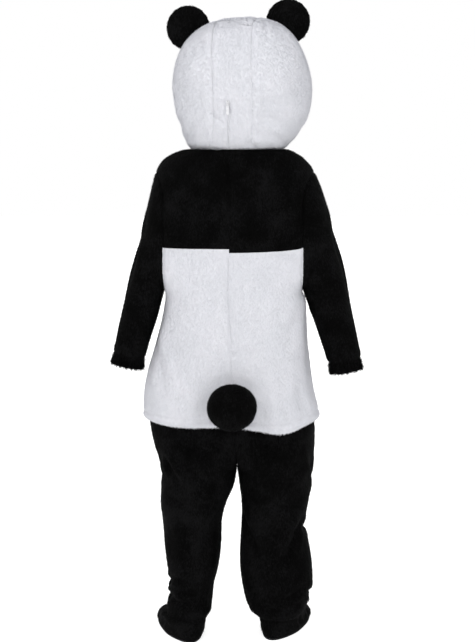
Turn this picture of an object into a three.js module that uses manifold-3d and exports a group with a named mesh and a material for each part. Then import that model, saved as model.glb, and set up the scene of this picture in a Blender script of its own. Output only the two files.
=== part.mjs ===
// A one-piece plush panda costume for a child of about 1.28 m, standing as it does when worn, with nobody in it.
// Millimetres. The origin is the middle of the neck seam, which the wearer's shoulders hold up.
// +Z is up, +Y is the wearer's back and +X the wearer's left. Every cloth panel is a thin wall of its own, cut as a
// maker would cut it: the walls follow smooth tubes, and each tube is a short table of sections.
import * as THREE from "three";
import { mergeVertices } from "three/addons/utils/BufferGeometryUtils.js";
import Module from "manifold-3d";

const wasm = await Module();
wasm.setup();

// ---------------------------------------------------------------- driving sizes
const CLOTH = 3; // plush with its pile
const SEAM_GAP = 0.3; // between the edges of two panels
const SOLE_Z = -1058; // underside of the soles
const SOLE_THICK = 4;
const YOKE_SEAM = { side: -208.5, backLeft: -210, backRight: -218, front: -214 }; // heights where black meets white
const HOLE = { top: -48, bottom: -300 }; // armholes
const HOLE_X = { left: 145, right: -149 }; // where their upright stretches lie
const TROUSER_TOP = -548; // where the trousers are sewn inside the white body
const HEAD = { x: -30, roll: 3.4, yaw: -9 }; // the hood is tipped towards the left and turned a little, degrees
const GUSSET_HALF = 41; // half the width of the strip over the crown
const ZIP = { top: 88, bottom: -450, tapeTop: 93, tapeHalf: 8, tapeThick: 1.2, tapeGap: 0.7 };
const EAR = { radius: 47, thick: 30, rim: 5, y: -34 };
const TAIL = { x: 0, y: 158, z: -533, wide: 51, deep: 44, high: 48 };
const SLIDER = { wide: 7, high: 10, base: 2.3, crownHalf: 0.9, crownOut: 3.6, crownThick: 1.2, crownHigh: 9.2 };
const TAB = { wide: 5.6, long: 24, thick: 1.1, windowWide: 3, windowLong: 5.1 };
const DEG = Math.PI / 180;
const BACK = 90; // angle round a section: 0 is the wearer's left or the outer side, 90 the back
const FRONT = 270;

const PLUSH_BLACK = { color: 0x0d0d0e, roughness: 0.95, metalness: 0 };
const PLUSH_WHITE = { color: 0xf0f0f2, roughness: 0.95, metalness: 0 };
const TAPE_WHITE = { color: 0xe4e4e6, roughness: 0.8, metalness: 0 };
const ZIP_WHITE = { color: 0xd9d9dc, roughness: 0.4, metalness: 0 };
const SOLE_BLACK = { color: 0x141414, roughness: 0.8, metalness: 0 };

// ---------------------------------------------------------------- tables of sections
// The body tube, from the hem up to the neck: how far it reaches to the left, right, back and front. Between the
// armholes' top and bottom its sides are cut away, and only its front and back are cloth.
const BODY = [
  { z: -580, left: 185, right: 184, back: 114, front: 120, power: 2.5 },
  { z: -558, left: 191, right: 184, back: 120, front: 126, power: 2.5 },
  { z: -505, left: 185, right: 172, back: 121, front: 129, power: 2.5 },
  { z: -435, left: 166, right: 163, back: 117, front: 125, power: 2.5 },
  { z: -372, left: 150, right: 158, back: 111, front: 119, power: 2.7 },
  { z: -322, left: 141, right: 155, back: 106, front: 112, power: 3 },
  { z: -300, left: 143, right: 149, back: 105, front: 110, power: 3.1 },
  { z: -262, left: 163, right: 170, back: 104, front: 108, power: 3 },
  { z: -200, left: 178, right: 186, back: 104, front: 106, power: 2.8 },
  { z: -130, left: 180, right: 190, back: 102, front: 101, power: 2.8 },
  { z: -80, left: 172, right: 184, back: 98, front: 94, power: 2.7 },
  { z: -48, left: 160, right: 173, back: 94, front: 86, power: 2.6 },
  { z: -23, left: 142, right: 152, back: 91, front: 80, power: 2.4 },
  { z: -8, left: 113, right: 126, back: 88, front: 76, power: 2.3 },
  { z: -3, left: 86, right: 106, back: 84, front: 74, power: 2.2 },
];
// Places round the hem where it hangs lower.
const HEM_LOBES = [
  { angle: 120, spread: 21, drop: 18 },
  { angle: 62, spread: 25, drop: 5 },
  { angle: 235, spread: 30, drop: 8 },
  { angle: 318, spread: 26, drop: 6 },
];
// The zip's line down the back.
const ZIP_LINE = [
  { z: -640, x: 0 },
  { z: -400, x: 1 },
  { z: -300, x: 9 },
  { z: -214, x: 6 },
  { z: 120, x: 8 },
];
// A sleeve's sections fan out from the underarm and then follow the arm. in and out are its two edges seen from behind.
const SLEEVE = {
  left: [
    { inX: 147, inZ: -305, outX: 169, outZ: -80, deep: 76 },
    { inX: 149, inZ: -309, outX: 184, outZ: -155, deep: 68 },
    { inX: 152, inZ: -317, outX: 203, outZ: -222, deep: 60 },
    { inX: 158, inZ: -340, outX: 222, outZ: -283, deep: 54 },
    { inX: 166, inZ: -372, outX: 236, outZ: -338, deep: 49 },
    { inX: 178, inZ: -412, outX: 248, outZ: -392, deep: 45 },
    { inX: 188, inZ: -450, outX: 256, outZ: -436, deep: 42 },
  ],
  right: [
    { inX: -154, inZ: -305, outX: -187, outZ: -80, deep: 76 },
    { inX: -156, inZ: -311, outX: -210, outZ: -150, deep: 68 },
    { inX: -160, inZ: -321, outX: -230, outZ: -226, deep: 60 },
    { inX: -169, inZ: -345, outX: -247, outZ: -296, deep: 54 },
    { inX: -181, inZ: -378, outX: -260, outZ: -352, deep: 49 },
    { inX: -195, inZ: -420, outX: -271, outZ: -404, deep: 45 },
    { inX: -208, inZ: -460, outX: -278, outZ: -448, deep: 42 },
  ],
};
// The gathered cuff carries on from the sleeve's last section: it nips in at the elastic and flares to its edge.
const CUFF = [
  { down: 7, grow: -3, ruffle: 0.5 },
  { down: 24, grow: -1, ruffle: 2.5 },
];
// The trousers above the fork. reach is how far each leg's own section crosses the middle, as a share of its outer side.
const HIPS = [
  { z: -590, centre: -3, left: 176, right: -178, reach: 0.86, back: 106, front: 111 },
  { z: -632, centre: -7, left: 167, right: -179, reach: 0.55, back: 103, front: 107 },
  { z: -655, centre: -9, left: 159, right: -177, reach: 0.3, back: 101, front: 104 },
  { z: -672, centre: -10, left: 155, right: -176, reach: 0.12, back: 99, front: 102 },
  { z: -679, centre: -11, left: 154, right: -175, reach: 0.03, back: 98, front: 101 },
  { z: -682, centre: -11, left: 154, right: -175, reach: 0, back: 98, front: 101 },
];
const LEG = {
  left: [
    { z: -725, outer: 153, inner: -3, back: 92, front: 95 },
    { z: -765, outer: 156, inner: 13, back: 86, front: 90 },
    { z: -805, outer: 151, inner: 23, back: 80, front: 85 },
    { z: -855, outer: 146, inner: 25, back: 76, front: 80 },
    { z: -905, outer: 140, inner: 30, back: 73, front: 76 },
    { z: -950, outer: 135, inner: 40, back: 69, front: 68 },
    { z: -985, outer: 139, inner: 44, back: 68, front: 58 },
    { z: -1010, outer: 143, inner: 47, back: 72, front: 49 },
  ],
  right: [
    { z: -725, outer: -171, inner: -18, back: 92, front: 95 },
    { z: -765, outer: -165, inner: -22, back: 86, front: 90 },
    { z: -815, outer: -157, inner: -22, back: 80, front: 86 },
    { z: -855, outer: -166, inner: -20, back: 80, front: 86 },
    { z: -905, outer: -174, inner: -19, back: 82, front: 86 },
    { z: -945, outer: -175, inner: -23, back: 79, front: 78 },
    { z: -985, outer: -165, inner: -32, back: 74, front: 61 },
    { z: -1010, outer: -155, inner: -44, back: 70, front: 50 },
  ],
};
// A foot cover below the trouser leg, in the foot's own direction. egg is how much wider its toes are than its heel.
const FOOT = {
  left: { x: 105, y: 8, toeOut: 14 },
  right: { x: -107, y: -8, toeOut: -18 },
};
const FOOT_ROWS = [
  { up: 42, heel: 70, toe: 56, half: 46, egg: 0.05 },
  { up: 33, heel: 74, toe: 108, half: 44, egg: 0.12 },
  { up: 22, heel: 77, toe: 138, half: 43, egg: 0.25 },
  { up: 12, heel: 78, toe: 147, half: 43, egg: 0.33 },
  { up: SOLE_THICK + SEAM_GAP, heel: 75, toe: 145, half: 41, egg: 0.35 },
];
// The hood bends forward from the neck to the face opening. in is its edge under the chin, out its edge over the back
// of the head and the crown, both seen from the side; half is half its width; turn is how much of HEAD it takes.
const HOOD = [
  { inY: -88, inZ: 10, outY: 107, outZ: 16, half: 109, turn: 0.3 },
  { inY: -99, inZ: 24, outY: 131, outZ: 62, half: 127, turn: 0.75 },
  { inY: -107, inZ: 38, outY: 143, outZ: 122, half: 139, turn: 1 },
  { inY: -113, inZ: 48, outY: 136, outZ: 186, half: 144, turn: 1 },
  { inY: -118, inZ: 55, outY: 104, outZ: 236, half: 142, turn: 1 },
  { inY: -121, inZ: 60, outY: 52, outZ: 264, half: 135, turn: 1 },
  { inY: -123, inZ: 63, outY: -10, outZ: 272, half: 125, turn: 1 },
  { inY: -124, inZ: 66, outY: -76, outZ: 260, half: 108, turn: 1 },
  { inY: -120, inZ: 70, outY: -116, outZ: 232, half: 84, turn: 1 },
];
const EARS = {
  left: { x: 94, z: 257, y: EAR.y - 15 },
  right: { x: -119, z: 267, y: EAR.y + 15 },
};

// ---------------------------------------------------------------- rings and tubes
const v3 = (x, y, z) => new THREE.Vector3(x, y, z);
const { lerp, clamp } = THREE.MathUtils;

// A power of 2 gives an ellipse, and a larger one a boxier section.
function roundness(degrees, power) {
  const c = Math.cos(degrees * DEG);
  const s = Math.sin(degrees * DEG);
  return [Math.sign(c) * Math.abs(c) ** (2 / power), Math.sign(s) * Math.abs(s) ** (2 / power)];
}

// A ring with its own middle and two directions: half its width one way, and its reach to the rear and to the fore.
function ring({ middle, side, back, half, rear, fore, power = 2.3, egg = 0 }) {
  return (degrees) => {
    const [c, s] = roundness(degrees, power);
    return middle
      .clone()
      .addScaledVector(side, c * half * (1 - egg * s))
      .addScaledVector(back, s * (s > 0 ? rear : fore));
  };
}

// A level ring from one x to another.
const levelRing = (z, from, to, rear, fore, power) =>
  ring({
    middle: v3((from + to) / 2, 0, z),
    side: v3(Math.sign(from - to), 0, 0),
    back: v3(0, 1, 0),
    half: Math.abs(from - to) / 2,
    rear,
    fore,
    power,
  });

// A smooth tube through rings. facing is 1 if its rows run so that the outside is on the right, and -1 otherwise.
function tube(rings, facing) {
  const last = rings.length - 1;
  const middles = rings.map((r) => r(0).add(r(90)).add(r(180)).add(r(270)).divideScalar(4));
  const knots = [0];
  for (let k = 1; k <= last; k++) knots.push(knots[k - 1] + middles[k].distanceTo(middles[k - 1]) + 1);
  const point = (degrees, row) => {
    const k = clamp(Math.floor(row), 0, last - 1);
    const t = row - k;
    const span = knots[k + 1] - knots[k];
    const slope = (i) => {
      const low = Math.max(i - 1, 0);
      const high = Math.min(i + 1, last);
      return rings[high](degrees).sub(rings[low](degrees)).multiplyScalar(span / (knots[high] - knots[low]));
    };
    return rings[k](degrees)
      .multiplyScalar(2 * t ** 3 - 3 * t ** 2 + 1)
      .addScaledVector(slope(k), t ** 3 - 2 * t ** 2 + t)
      .addScaledVector(rings[k + 1](degrees), 3 * t ** 2 - 2 * t ** 3)
      .addScaledVector(slope(k + 1), t ** 3 - t ** 2);
  };
  const out = (degrees, row) => {
    const round = point(degrees + 0.5, row).sub(point(degrees - 0.5, row));
    const along = point(degrees, Math.min(row + 0.02, last)).sub(point(degrees, Math.max(row - 0.02, 0)));
    return round.cross(along).normalize().multiplyScalar(facing);
  };
  const at = (degrees, row) => ({ p: point(degrees, row), n: out(degrees, row) });
  return { point, at, last };
}

// Where a rising or falling test passes zero between low and high.
function solve(test, low, high) {
  const rising = test(low) < test(high);
  for (let i = 0; i < 40; i++) {
    const mid = (low + high) / 2;
    if (test(mid) < 0 === rising) low = mid;
    else high = mid;
  }
  return (low + high) / 2;
}

// A value between the entries of a list, at a place counted in entries.
function between(list, place) {
  const k = clamp(Math.floor(place), 0, list.length - 2);
  return lerp(list[k], list[k + 1], place - k);
}

// Steps from one number to another, the first left out.
const steps = (from, to, count) => Array.from({ length: count }, (_, i) => lerp(from, to, (i + 1) / count));

// ---------------------------------------------------------------- walls
const parts = new Map(); // name -> { solid, fat, material }

function solidOf(geometry) {
  const plain = geometry.clone();
  plain.deleteAttribute("normal");
  plain.deleteAttribute("uv");
  const merged = mergeVertices(plain, 1e-4);
  const triVerts = new Uint32Array(merged.index.array);
  const vertProperties = merged.attributes.position.array;
  const make = () => new wasm.Manifold(new wasm.Mesh({ numProp: 3, vertProperties, triVerts }));
  const solid = make();
  if (solid.volume() > 0) return solid;
  for (let i = 0; i < triVerts.length; i += 3)
    [triVerts[i + 1], triVerts[i + 2]] = [triVerts[i + 2], triVerts[i + 1]];
  return make();
}

// A wall over a grid, from the outer to the inner offset. grid.at(i, j) gives a point p of the cloth's outer face and
// the direction n out of it. Each edge is drawn back by its inset, or carried on past the seam by a negative one.
function wall(grid, { outer, inner, first, last, sides }) {
  const { across, along, closed = false, at } = grid;
  const columns = closed ? across : across + 1;
  const drawnBack = (from, to, inset) => from.clone().add(to.clone().sub(from).setLength(inset));
  const layers = [outer, inner].map((offset) => {
    const layer = [];
    for (let j = 0; j <= along; j++) {
      layer.push([]);
      for (let i = 0; i < columns; i++) {
        const { p, n } = at(i, j);
        layer[j].push(p.clone().addScaledVector(n, offset));
      }
    }
    const ends = [
      layer[0].map((p, i) => drawnBack(p, layer[1][i], first)),
      layer[along].map((p, i) => drawnBack(p, layer[along - 1][i], last)),
    ];
    [layer[0], layer[along]] = ends;
    if (!closed)
      for (const line of layer) {
        const low = drawnBack(line[0], line[1], sides);
        line[across] = drawnBack(line[across], line[across - 1], sides);
        line[0] = low;
      }
    return layer;
  });
  const positions = layers.flat(2).flatMap((p) => p.toArray());
  const id = (layer, j, i) => (layer * (along + 1) + j) * columns + (i % columns);
  const triangles = [];
  const quad = (a, b, c, d) => triangles.push(a, b, c, a, c, d);
  for (let j = 0; j < along; j++)
    for (let i = 0; i < across; i++) {
      quad(id(0, j, i), id(0, j, i + 1), id(0, j + 1, i + 1), id(0, j + 1, i));
      quad(id(1, j, i), id(1, j + 1, i), id(1, j + 1, i + 1), id(1, j, i + 1));
    }
  for (let i = 0; i < across; i++) {
    quad(id(0, 0, i), id(1, 0, i), id(1, 0, i + 1), id(0, 0, i + 1));
    quad(id(0, along, i), id(0, along, i + 1), id(1, along, i + 1), id(1, along, i));
  }
  if (!closed)
    for (let j = 0; j < along; j++) {
      quad(id(0, j, 0), id(0, j + 1, 0), id(1, j + 1, 0), id(1, j, 0));
      quad(id(0, j, across), id(1, j, across), id(1, j + 1, across), id(0, j + 1, across));
    }
  const geometry = new THREE.BufferGeometry();
  geometry.setAttribute("position", new THREE.Float32BufferAttribute(positions, 3));
  geometry.setIndex(triangles);
  return solidOf(geometry);
}

// The largest body of a solid: what a cut leaves on the far side of a wall is dropped.
const largest = (solid) => solid.decompose().reduce((a, b) => (a.volume() > b.volume() ? a : b));

// Keeps a piece, cut clear of the pieces that it names. fat is the piece grown by the seam's gap, to cut others by.
function add(name, solid, material, { fat = solid, clearOf = [] } = {}) {
  const trimmed = clearOf.reduce((left, other) => left.subtract(parts.get(other).fat), solid);
  parts.set(name, { solid: clearOf.length ? largest(trimmed) : solid, fat, material });
}

const HALF_GAP = SEAM_GAP / 2;
const SEWN = { outer: 0, inner: -CLOTH, first: HALF_GAP, last: HALF_GAP, sides: HALF_GAP };
const GROWN = { outer: SEAM_GAP, inner: -CLOTH - SEAM_GAP, first: -SEAM_GAP, last: -SEAM_GAP, sides: -SEAM_GAP };

// A seam whose two sides meet at an angle needs a little more room.
const BULKY_SEAM = { edges: { first: 0.6 } };

function panel(name, grid, material, { edges = {}, slit, clearOf } = {}) {
  const cloth = wall(grid, { ...SEWN, ...edges });
  add(name, slit ? cloth.subtract(slit) : cloth, material, { fat: wall(grid, GROWN), clearOf });
}

// ---------------------------------------------------------------- body
const hemDrop = (degrees) =>
  HEM_LOBES.reduce((sum, lobe) => sum + lobe.drop * Math.exp(-(((degrees - lobe.angle) / lobe.spread) ** 2)), 0);

const bodyTube = tube(
  BODY.map(({ z, left, right, back, front, power }, k) => {
    const level = levelRing(z, left, -right, back, front, power);
    if (k) return level;
    return (degrees) => level(degrees).add(v3(0, 0, -hemDrop((degrees + 360) % 360)));
  }),
  1,
);
const bodyRow = (z) => solve((row) => bodyTube.point(0, row).z - z, 0, bodyTube.last);
const bodySide = (side, z) => bodyTube.point(side === "left" ? 0 : 180, bodyRow(z)).x;

// The armhole seams lie almost in upright planes, which lean out to the side of the body at both ends.
function holeX(side, z) {
  const straight = HOLE_X[side];
  const upper = clamp((z + 110) / (HOLE.top + 110), 0, 1) ** 2;
  const lower = clamp((z + 262) / (HOLE.bottom + 262), 0, 1) ** 2;
  const topLean = bodySide(side, HOLE.top) - straight;
  const bottomLean = bodySide(side, HOLE.bottom) - straight;
  return straight + topLean * upper + bottomLean * lower;
}

// An armhole's rim: 0 degrees is the top of the shoulder, 90 the back and 180 the underarm. n lies in the seam's plane,
// so that the sleeve and the body meet edge to edge.
const holeMiddle = (HOLE.top + HOLE.bottom) / 2;
const holeHalf = (HOLE.top - HOLE.bottom) / 2;
function rimPoint(side, degrees) {
  const z = holeMiddle + holeHalf * Math.cos(degrees * DEG);
  const row = bodyRow(z);
  const seam = side === "left" ? 0 : 180;
  const atBack = Math.sin(degrees * DEG) >= 0;
  const middle = atBack ? BACK : side === "left" ? -BACK : FRONT;
  const x = Math.abs(holeX(side, z));
  const beyond = (angle) => Math.abs(bodyTube.point(angle, row).x) - x;
  const angle = beyond(seam) <= 0 || degrees % 180 === 0 ? seam : solve(beyond, seam, middle);
  return { angle, row, p: bodyTube.point(angle, row) };
}
function rim(side, degrees) {
  const { angle, row, p } = rimPoint(side, degrees);
  const along = rimPoint(side, degrees + 0.5).p.sub(rimPoint(side, degrees - 0.5).p);
  const n = v3(0, along.z, -along.y).normalize();
  const outwards = n.y * p.y + n.z * (p.z - holeMiddle);
  return { angle, row, p, n: outwards < 0 ? n.negate() : n };
}

// Heights of the panels' rows. Those along the armhole are even turns of its rim, the yoke seam's among them.
const yokeTurn = Math.acos((YOKE_SEAM.side - holeMiddle) / holeHalf) / DEG;
const HOLE_TURNS = [0, ...steps(0, yokeTurn, 5), ...steps(yokeTurn, 180, 3)];
const holeLevels = HOLE_TURNS.map((turn) => holeMiddle + holeHalf * Math.cos(turn * DEG)).reverse();
const YOKE_LEVEL = 3; // among the armhole's levels, from the underarm up
const BELOW_HOLE = [BODY[0].z, -566, TROUSER_TOP, -505, ZIP.bottom, -400, -352, -322];
const ABOVE_HOLE = [-30, -14, -3];
const LEVELS = [...BELOW_HOLE, ...holeLevels, ...ABOVE_HOLE];
const SEAM_LEVEL = BELOW_HOLE.length + YOKE_LEVEL;
const SEAM_ROW = { lower: [0, SEAM_LEVEL], upper: [SEAM_LEVEL, LEVELS.length - 1] };

// The side edge of a panel at a level: the armhole's rim, or the side seam above and below it.
function sideEdge(side, quarter, level) {
  const step = level - BELOW_HOLE.length;
  if (step >= 0 && step < holeLevels.length) {
    const turn = HOLE_TURNS[holeLevels.length - 1 - step];
    return rim(side, quarter === "back" ? turn : 360 - turn);
  }
  const angle = side === "left" ? 0 : 180;
  const row = bodyRow(LEVELS[level]);
  return { angle, row, ...bodyTube.at(angle, row) };
}

const zipX = (z) => {
  const k = clamp(ZIP_LINE.findIndex((point) => point.z > z) - 1, 0, ZIP_LINE.length - 2);
  const [low, high] = [ZIP_LINE[k], ZIP_LINE[k + 1]];
  return lerp(low.x, high.x, (z - low.z) / (high.z - low.z));
};
const zipAngle = (row) => {
  const { z } = bodyTube.point(BACK, row);
  return solve((angle) => bodyTube.point(angle, row).x - zipX(z), 60, 120);
};

const BACK_COLUMNS = 6;
const FRONT_COLUMNS = 12;
// The yoke seam rises or falls a little from the armholes to the middle.
function levelRow(level, towardsMiddle, middleSeam) {
  const z = LEVELS[level];
  return bodyRow(level === SEAM_LEVEL ? lerp(z, middleSeam, towardsMiddle) : z);
}

function backGrid(side, half) {
  const [from, to] = SEAM_ROW[half];
  const middleSeam = side === "left" ? YOKE_SEAM.backLeft : YOKE_SEAM.backRight;
  return {
    across: BACK_COLUMNS,
    along: to - from,
    at: (i, j) => {
      const level = from + j;
      if (level === LEVELS.length - 1) return neckCorner(QUARTER + i + (side === "left" ? 0 : BACK_COLUMNS));
      const inwards = side === "left" ? i / BACK_COLUMNS : 1 - i / BACK_COLUMNS;
      const edge = sideEdge(side, "back", level);
      if (inwards === 0) return edge;
      const row = levelRow(level, inwards, middleSeam);
      return bodyTube.at(lerp(edge.angle, zipAngle(row), inwards), row);
    },
  };
}

function frontGrid(half) {
  const [from, to] = SEAM_ROW[half];
  return {
    across: FRONT_COLUMNS,
    along: to - from,
    at: (i, j) => {
      const level = from + j;
      if (level === LEVELS.length - 1) return neckCorner(QUARTER + 2 * BACK_COLUMNS + i);
      const rightEdge = sideEdge("right", "front", level);
      const leftEdge = sideEdge("left", "front", level);
      if (i === 0) return rightEdge;
      if (i === FRONT_COLUMNS) return leftEdge;
      const row = levelRow(level, 1 - Math.abs((2 * i) / FRONT_COLUMNS - 1), YOKE_SEAM.front);
      return bodyTube.at(lerp(rightEdge.angle, 360 + leftEdge.angle, i / FRONT_COLUMNS), row);
    },
  };
}

// ---------------------------------------------------------------- hood
// Each section is turned with the head, and tipped with it more and more up from the neck.
function headTurn(point, share) {
  return point
    .applyAxisAngle(v3(0, 0, 1), HEAD.yaw * DEG)
    .applyAxisAngle(v3(0, 1, 0), HEAD.roll * share * DEG)
    .add(v3(lerp(-10, HEAD.x, share), 0, 0));
}

function hoodRing({ inY, inZ, outY, outZ, half, turn }) {
  const edge = v3(0, outY - inY, outZ - inZ);
  const reach = edge.length() / 2;
  const flat = ring({
    middle: v3(0, (inY + outY) / 2, (inZ + outZ) / 2),
    side: v3(1, 0, 0),
    back: edge.normalize(),
    half,
    rear: reach,
    fore: reach,
    power: 2.35,
  });
  return (degrees) => headTurn(flat(degrees), turn);
}

// The hood starts on the body's neck edge, its back middle on the zip's line.
const neckZip = zipAngle(bodyTube.last);
const neckShift = neckZip - BACK;
const neckRing = (degrees) => bodyTube.point(degrees + neckShift, bodyTube.last);
const hoodTube = tube([neckRing, ...HOOD.map(hoodRing)], 1);
const hoodRow = (z) => solve((row) => hoodTube.point(BACK, row).z - z, 0, 4);

// The strip over the crown is one width all along.
function gussetEdge(row, far) {
  const middle = hoodTube.point(BACK, row);
  return solve((angle) => hoodTube.point(angle, row).distanceTo(middle) - GUSSET_HALF, BACK, far);
}

const tapeTop = hoodRow(ZIP.tapeTop);
// Corners of the neck seam, shared by the hood and the body, from the front middle round by the left.
const QUARTER = FRONT_COLUMNS / 2;
const NECK_ANGLES = [-90, ...steps(-90, 0, QUARTER), ...steps(0, neckZip, BACK_COLUMNS)];
NECK_ANGLES.push(...steps(neckZip, 180, BACK_COLUMNS), ...steps(180, 270, QUARTER));
function neckCorner(k) {
  const angle = NECK_ANGLES[k % (NECK_ANGLES.length - 1)];
  const { p, n } = bodyTube.at(angle, bodyTube.last);
  return { angle, p, n: n.add(hoodTube.at(angle - neckShift, 0).n).normalize() };
}

const HOOD_ROWS = [0, ...steps(0, 2, 3), ...steps(2, tapeTop, 1), ...steps(tapeTop, 5, 3), ...steps(5, hoodTube.last, 5)];
function hoodGrid(firstCorner, lastCorner, from, to) {
  const across = lastCorner - firstCorner;
  return {
    across,
    along: HOOD_ROWS.length - 1,
    at: (i, j) => {
      const row = HOOD_ROWS[j];
      return j ? hoodTube.at(lerp(from(row), to(row), i / across), row) : neckCorner(firstCorner + i);
    },
  };
}

const hoodZip = (row) => {
  const { z } = hoodTube.point(BACK, row);
  return solve((angle) => hoodTube.point(angle, row).x - zipX(z), 70, 110);
};
const leftSeam = (row) => gussetEdge(row, 20);
const rightSeam = (row) => gussetEdge(row, 160);
const SLIT_HALF_ANGLE = 0.3; // degrees either side of the zip's line
const slitGrid = {
  across: 1,
  along: 6,
  at: (i, j) => {
    const row = lerp(0, hoodRow(ZIP.top), j / 6);
    return hoodTube.at(hoodZip(row) + lerp(-SLIT_HALF_ANGLE, SLIT_HALF_ANGLE, i), row);
  },
};
const slit = wall(slitGrid, { outer: 3, inner: -CLOTH - 3, first: -3, last: 0, sides: 0 });
const SIDE_CORNERS = 10;
const LAST_CORNER = NECK_ANGLES.length - 1;
panel("hood_gusset", hoodGrid(SIDE_CORNERS, LAST_CORNER - SIDE_CORNERS, leftSeam, rightSeam), PLUSH_WHITE, { slit });
panel("hood_side_left", hoodGrid(0, SIDE_CORNERS, () => FRONT - 360, leftSeam), PLUSH_WHITE);
panel("hood_side_right", hoodGrid(LAST_CORNER - SIDE_CORNERS, LAST_CORNER, rightSeam, () => FRONT), PLUSH_WHITE);
const HOOD_PANELS = ["hood_gusset", "hood_side_left", "hood_side_right"];

// ---------------------------------------------------------------- body panels
for (const side of ["left", "right"]) {
  panel(`back_upper_${side}`, backGrid(side, "upper"), PLUSH_BLACK);
  panel(`back_lower_${side}`, backGrid(side, "lower"), PLUSH_WHITE);
}
panel("front_upper", frontGrid("upper"), PLUSH_BLACK);
panel("front_lower", frontGrid("lower"), PLUSH_WHITE);

// ---------------------------------------------------------------- sleeves and cuffs
function sleeveRing({ inX, inZ, outX, outZ, deep }, down = 0, grow = 0) {
  const edge = v3(outX - inX, 0, outZ - inZ);
  const half = edge.length() / 2 + grow;
  edge.normalize();
  const along = v3(edge.z, 0, -edge.x).multiplyScalar(Math.sign(inX));
  return ring({
    middle: v3((inX + outX) / 2, 0, (inZ + outZ) / 2).addScaledVector(along, down),
    side: edge,
    back: v3(0, 1, 0),
    half,
    rear: deep + grow,
    fore: deep + grow,
  });
}

// The sleeve's columns start at the body panels' own corners.
const SLEEVE_TURNS = [...HOLE_TURNS, ...HOLE_TURNS.slice(1, -1).reverse().map((turn) => 360 - turn)];
const turnAt = (turns, place) => between([...turns, 360], place);
const SLEEVE_ROWS = 8;

// Two points and their directions, mixed half and half.
const halfway = (a, b) => ({
  p: a.p.clone().lerp(b.p, 0.5),
  n: a.n.clone().lerp(b.n, 0.5),
});

for (const side of ["left", "right"]) {
  const facing = side === "left" ? -1 : 1;
  const table = SLEEVE[side];
  const sleeveTube = tube([(turn) => rimPoint(side, turn).p, ...table.map((row) => sleeveRing(row))], facing);
  const columns = SLEEVE_TURNS.length;
  panel(`sleeve_${side}`, {
    across: columns,
    along: SLEEVE_ROWS,
    closed: true,
    at: (i, j) => {
      const turn = turnAt(SLEEVE_TURNS, i);
      return j ? sleeveTube.at(turn, (sleeveTube.last * j) / SLEEVE_ROWS) : rim(side, turn);
    },
  }, PLUSH_BLACK, BULKY_SEAM);

  // Twice the sleeve's columns, every other one standing out as a ruffle.
  const wrist = table[table.length - 1];
  const cuffRings = [{ down: 0, grow: 0 }, ...CUFF].map(({ down, grow }) => sleeveRing(wrist, down, grow));
  const cuffTube = tube(cuffRings, facing);
  const wristEdge = (i) => sleeveTube.at(turnAt(SLEEVE_TURNS, i % columns), sleeveTube.last);
  panel(`cuff_${side}`, {
    across: 2 * columns,
    along: CUFF.length,
    closed: true,
    at: (i, j) => {
      if (j === 0) return i % 2 ? halfway(wristEdge((i - 1) / 2), wristEdge((i + 1) / 2)) : wristEdge(i / 2);
      const place = cuffTube.at(turnAt(SLEEVE_TURNS, i / 2), j);
      place.p.addScaledVector(place.n, CUFF[j - 1].ruffle * (i % 2 ? 1 : -1));
      return place;
    },
  }, PLUSH_BLACK);
}

// ---------------------------------------------------------------- trousers and foot covers
// The trousers' top edge lies against the inside of the body panels, corner to corner.
const topRow = bodyRow(TROUSER_TOP);
const topCorners = [];
for (let i = 0; i < BACK_COLUMNS; i++) topCorners.push(lerp(0, zipAngle(topRow), i / BACK_COLUMNS));
for (let i = 0; i < BACK_COLUMNS; i++) topCorners.push(lerp(zipAngle(topRow), 180, i / BACK_COLUMNS));
for (let i = 0; i <= FRONT_COLUMNS; i++) topCorners.push(lerp(180, 360, i / FRONT_COLUMNS));
const topPoints = topCorners.map((angle) => {
  const { p, n } = bodyTube.at(angle, topRow);
  return p.addScaledVector(n, -CLOTH - SEAM_GAP);
});
function trouserTop(side) {
  return (degrees) => {
    const angle = ((side === "left" ? degrees : 180 - degrees) + 720) % 360;
    const k = topCorners.findIndex((corner) => corner > angle) - 1;
    const share = (angle - topCorners[k]) / (topCorners[k + 1] - topCorners[k]);
    return topPoints[k].clone().lerp(topPoints[k + 1], share);
  };
}

function hipRing(side, { z, centre, left, right, reach, back, front }) {
  const outer = side === "left" ? left : right;
  return levelRing(z, outer, centre - reach * (outer - centre), back, front, 2.5);
}

function footRing(side, { up, heel, toe, half, egg }) {
  const { x, y, toeOut } = FOOT[side];
  const turn = toeOut * DEG;
  return ring({
    middle: v3(x, y, SOLE_Z + up),
    side: v3(Math.cos(turn), Math.sin(turn), 0).multiplyScalar(Math.sign(x)),
    back: v3(-Math.sin(turn), Math.cos(turn), 0),
    half,
    rear: heel,
    fore: toe,
    power: 2.2,
    egg,
  });
}

const SIGN = { left: 1, right: -1 };
const legTubes = {};
for (const side of ["left", "right"]) {
  const hips = HIPS.map((row) => hipRing(side, row));
  const below = LEG[side].map((row) => levelRing(row.z, row.outer, row.inner, row.back, row.front, 2.3));
  legTubes[side] = tube([trouserTop(side), ...hips, ...below], -SIGN[side]);
}

const FORK_ROW = HIPS.length;
const CENTRES = [0, ...HIPS.map((row) => row.centre)];

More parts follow.
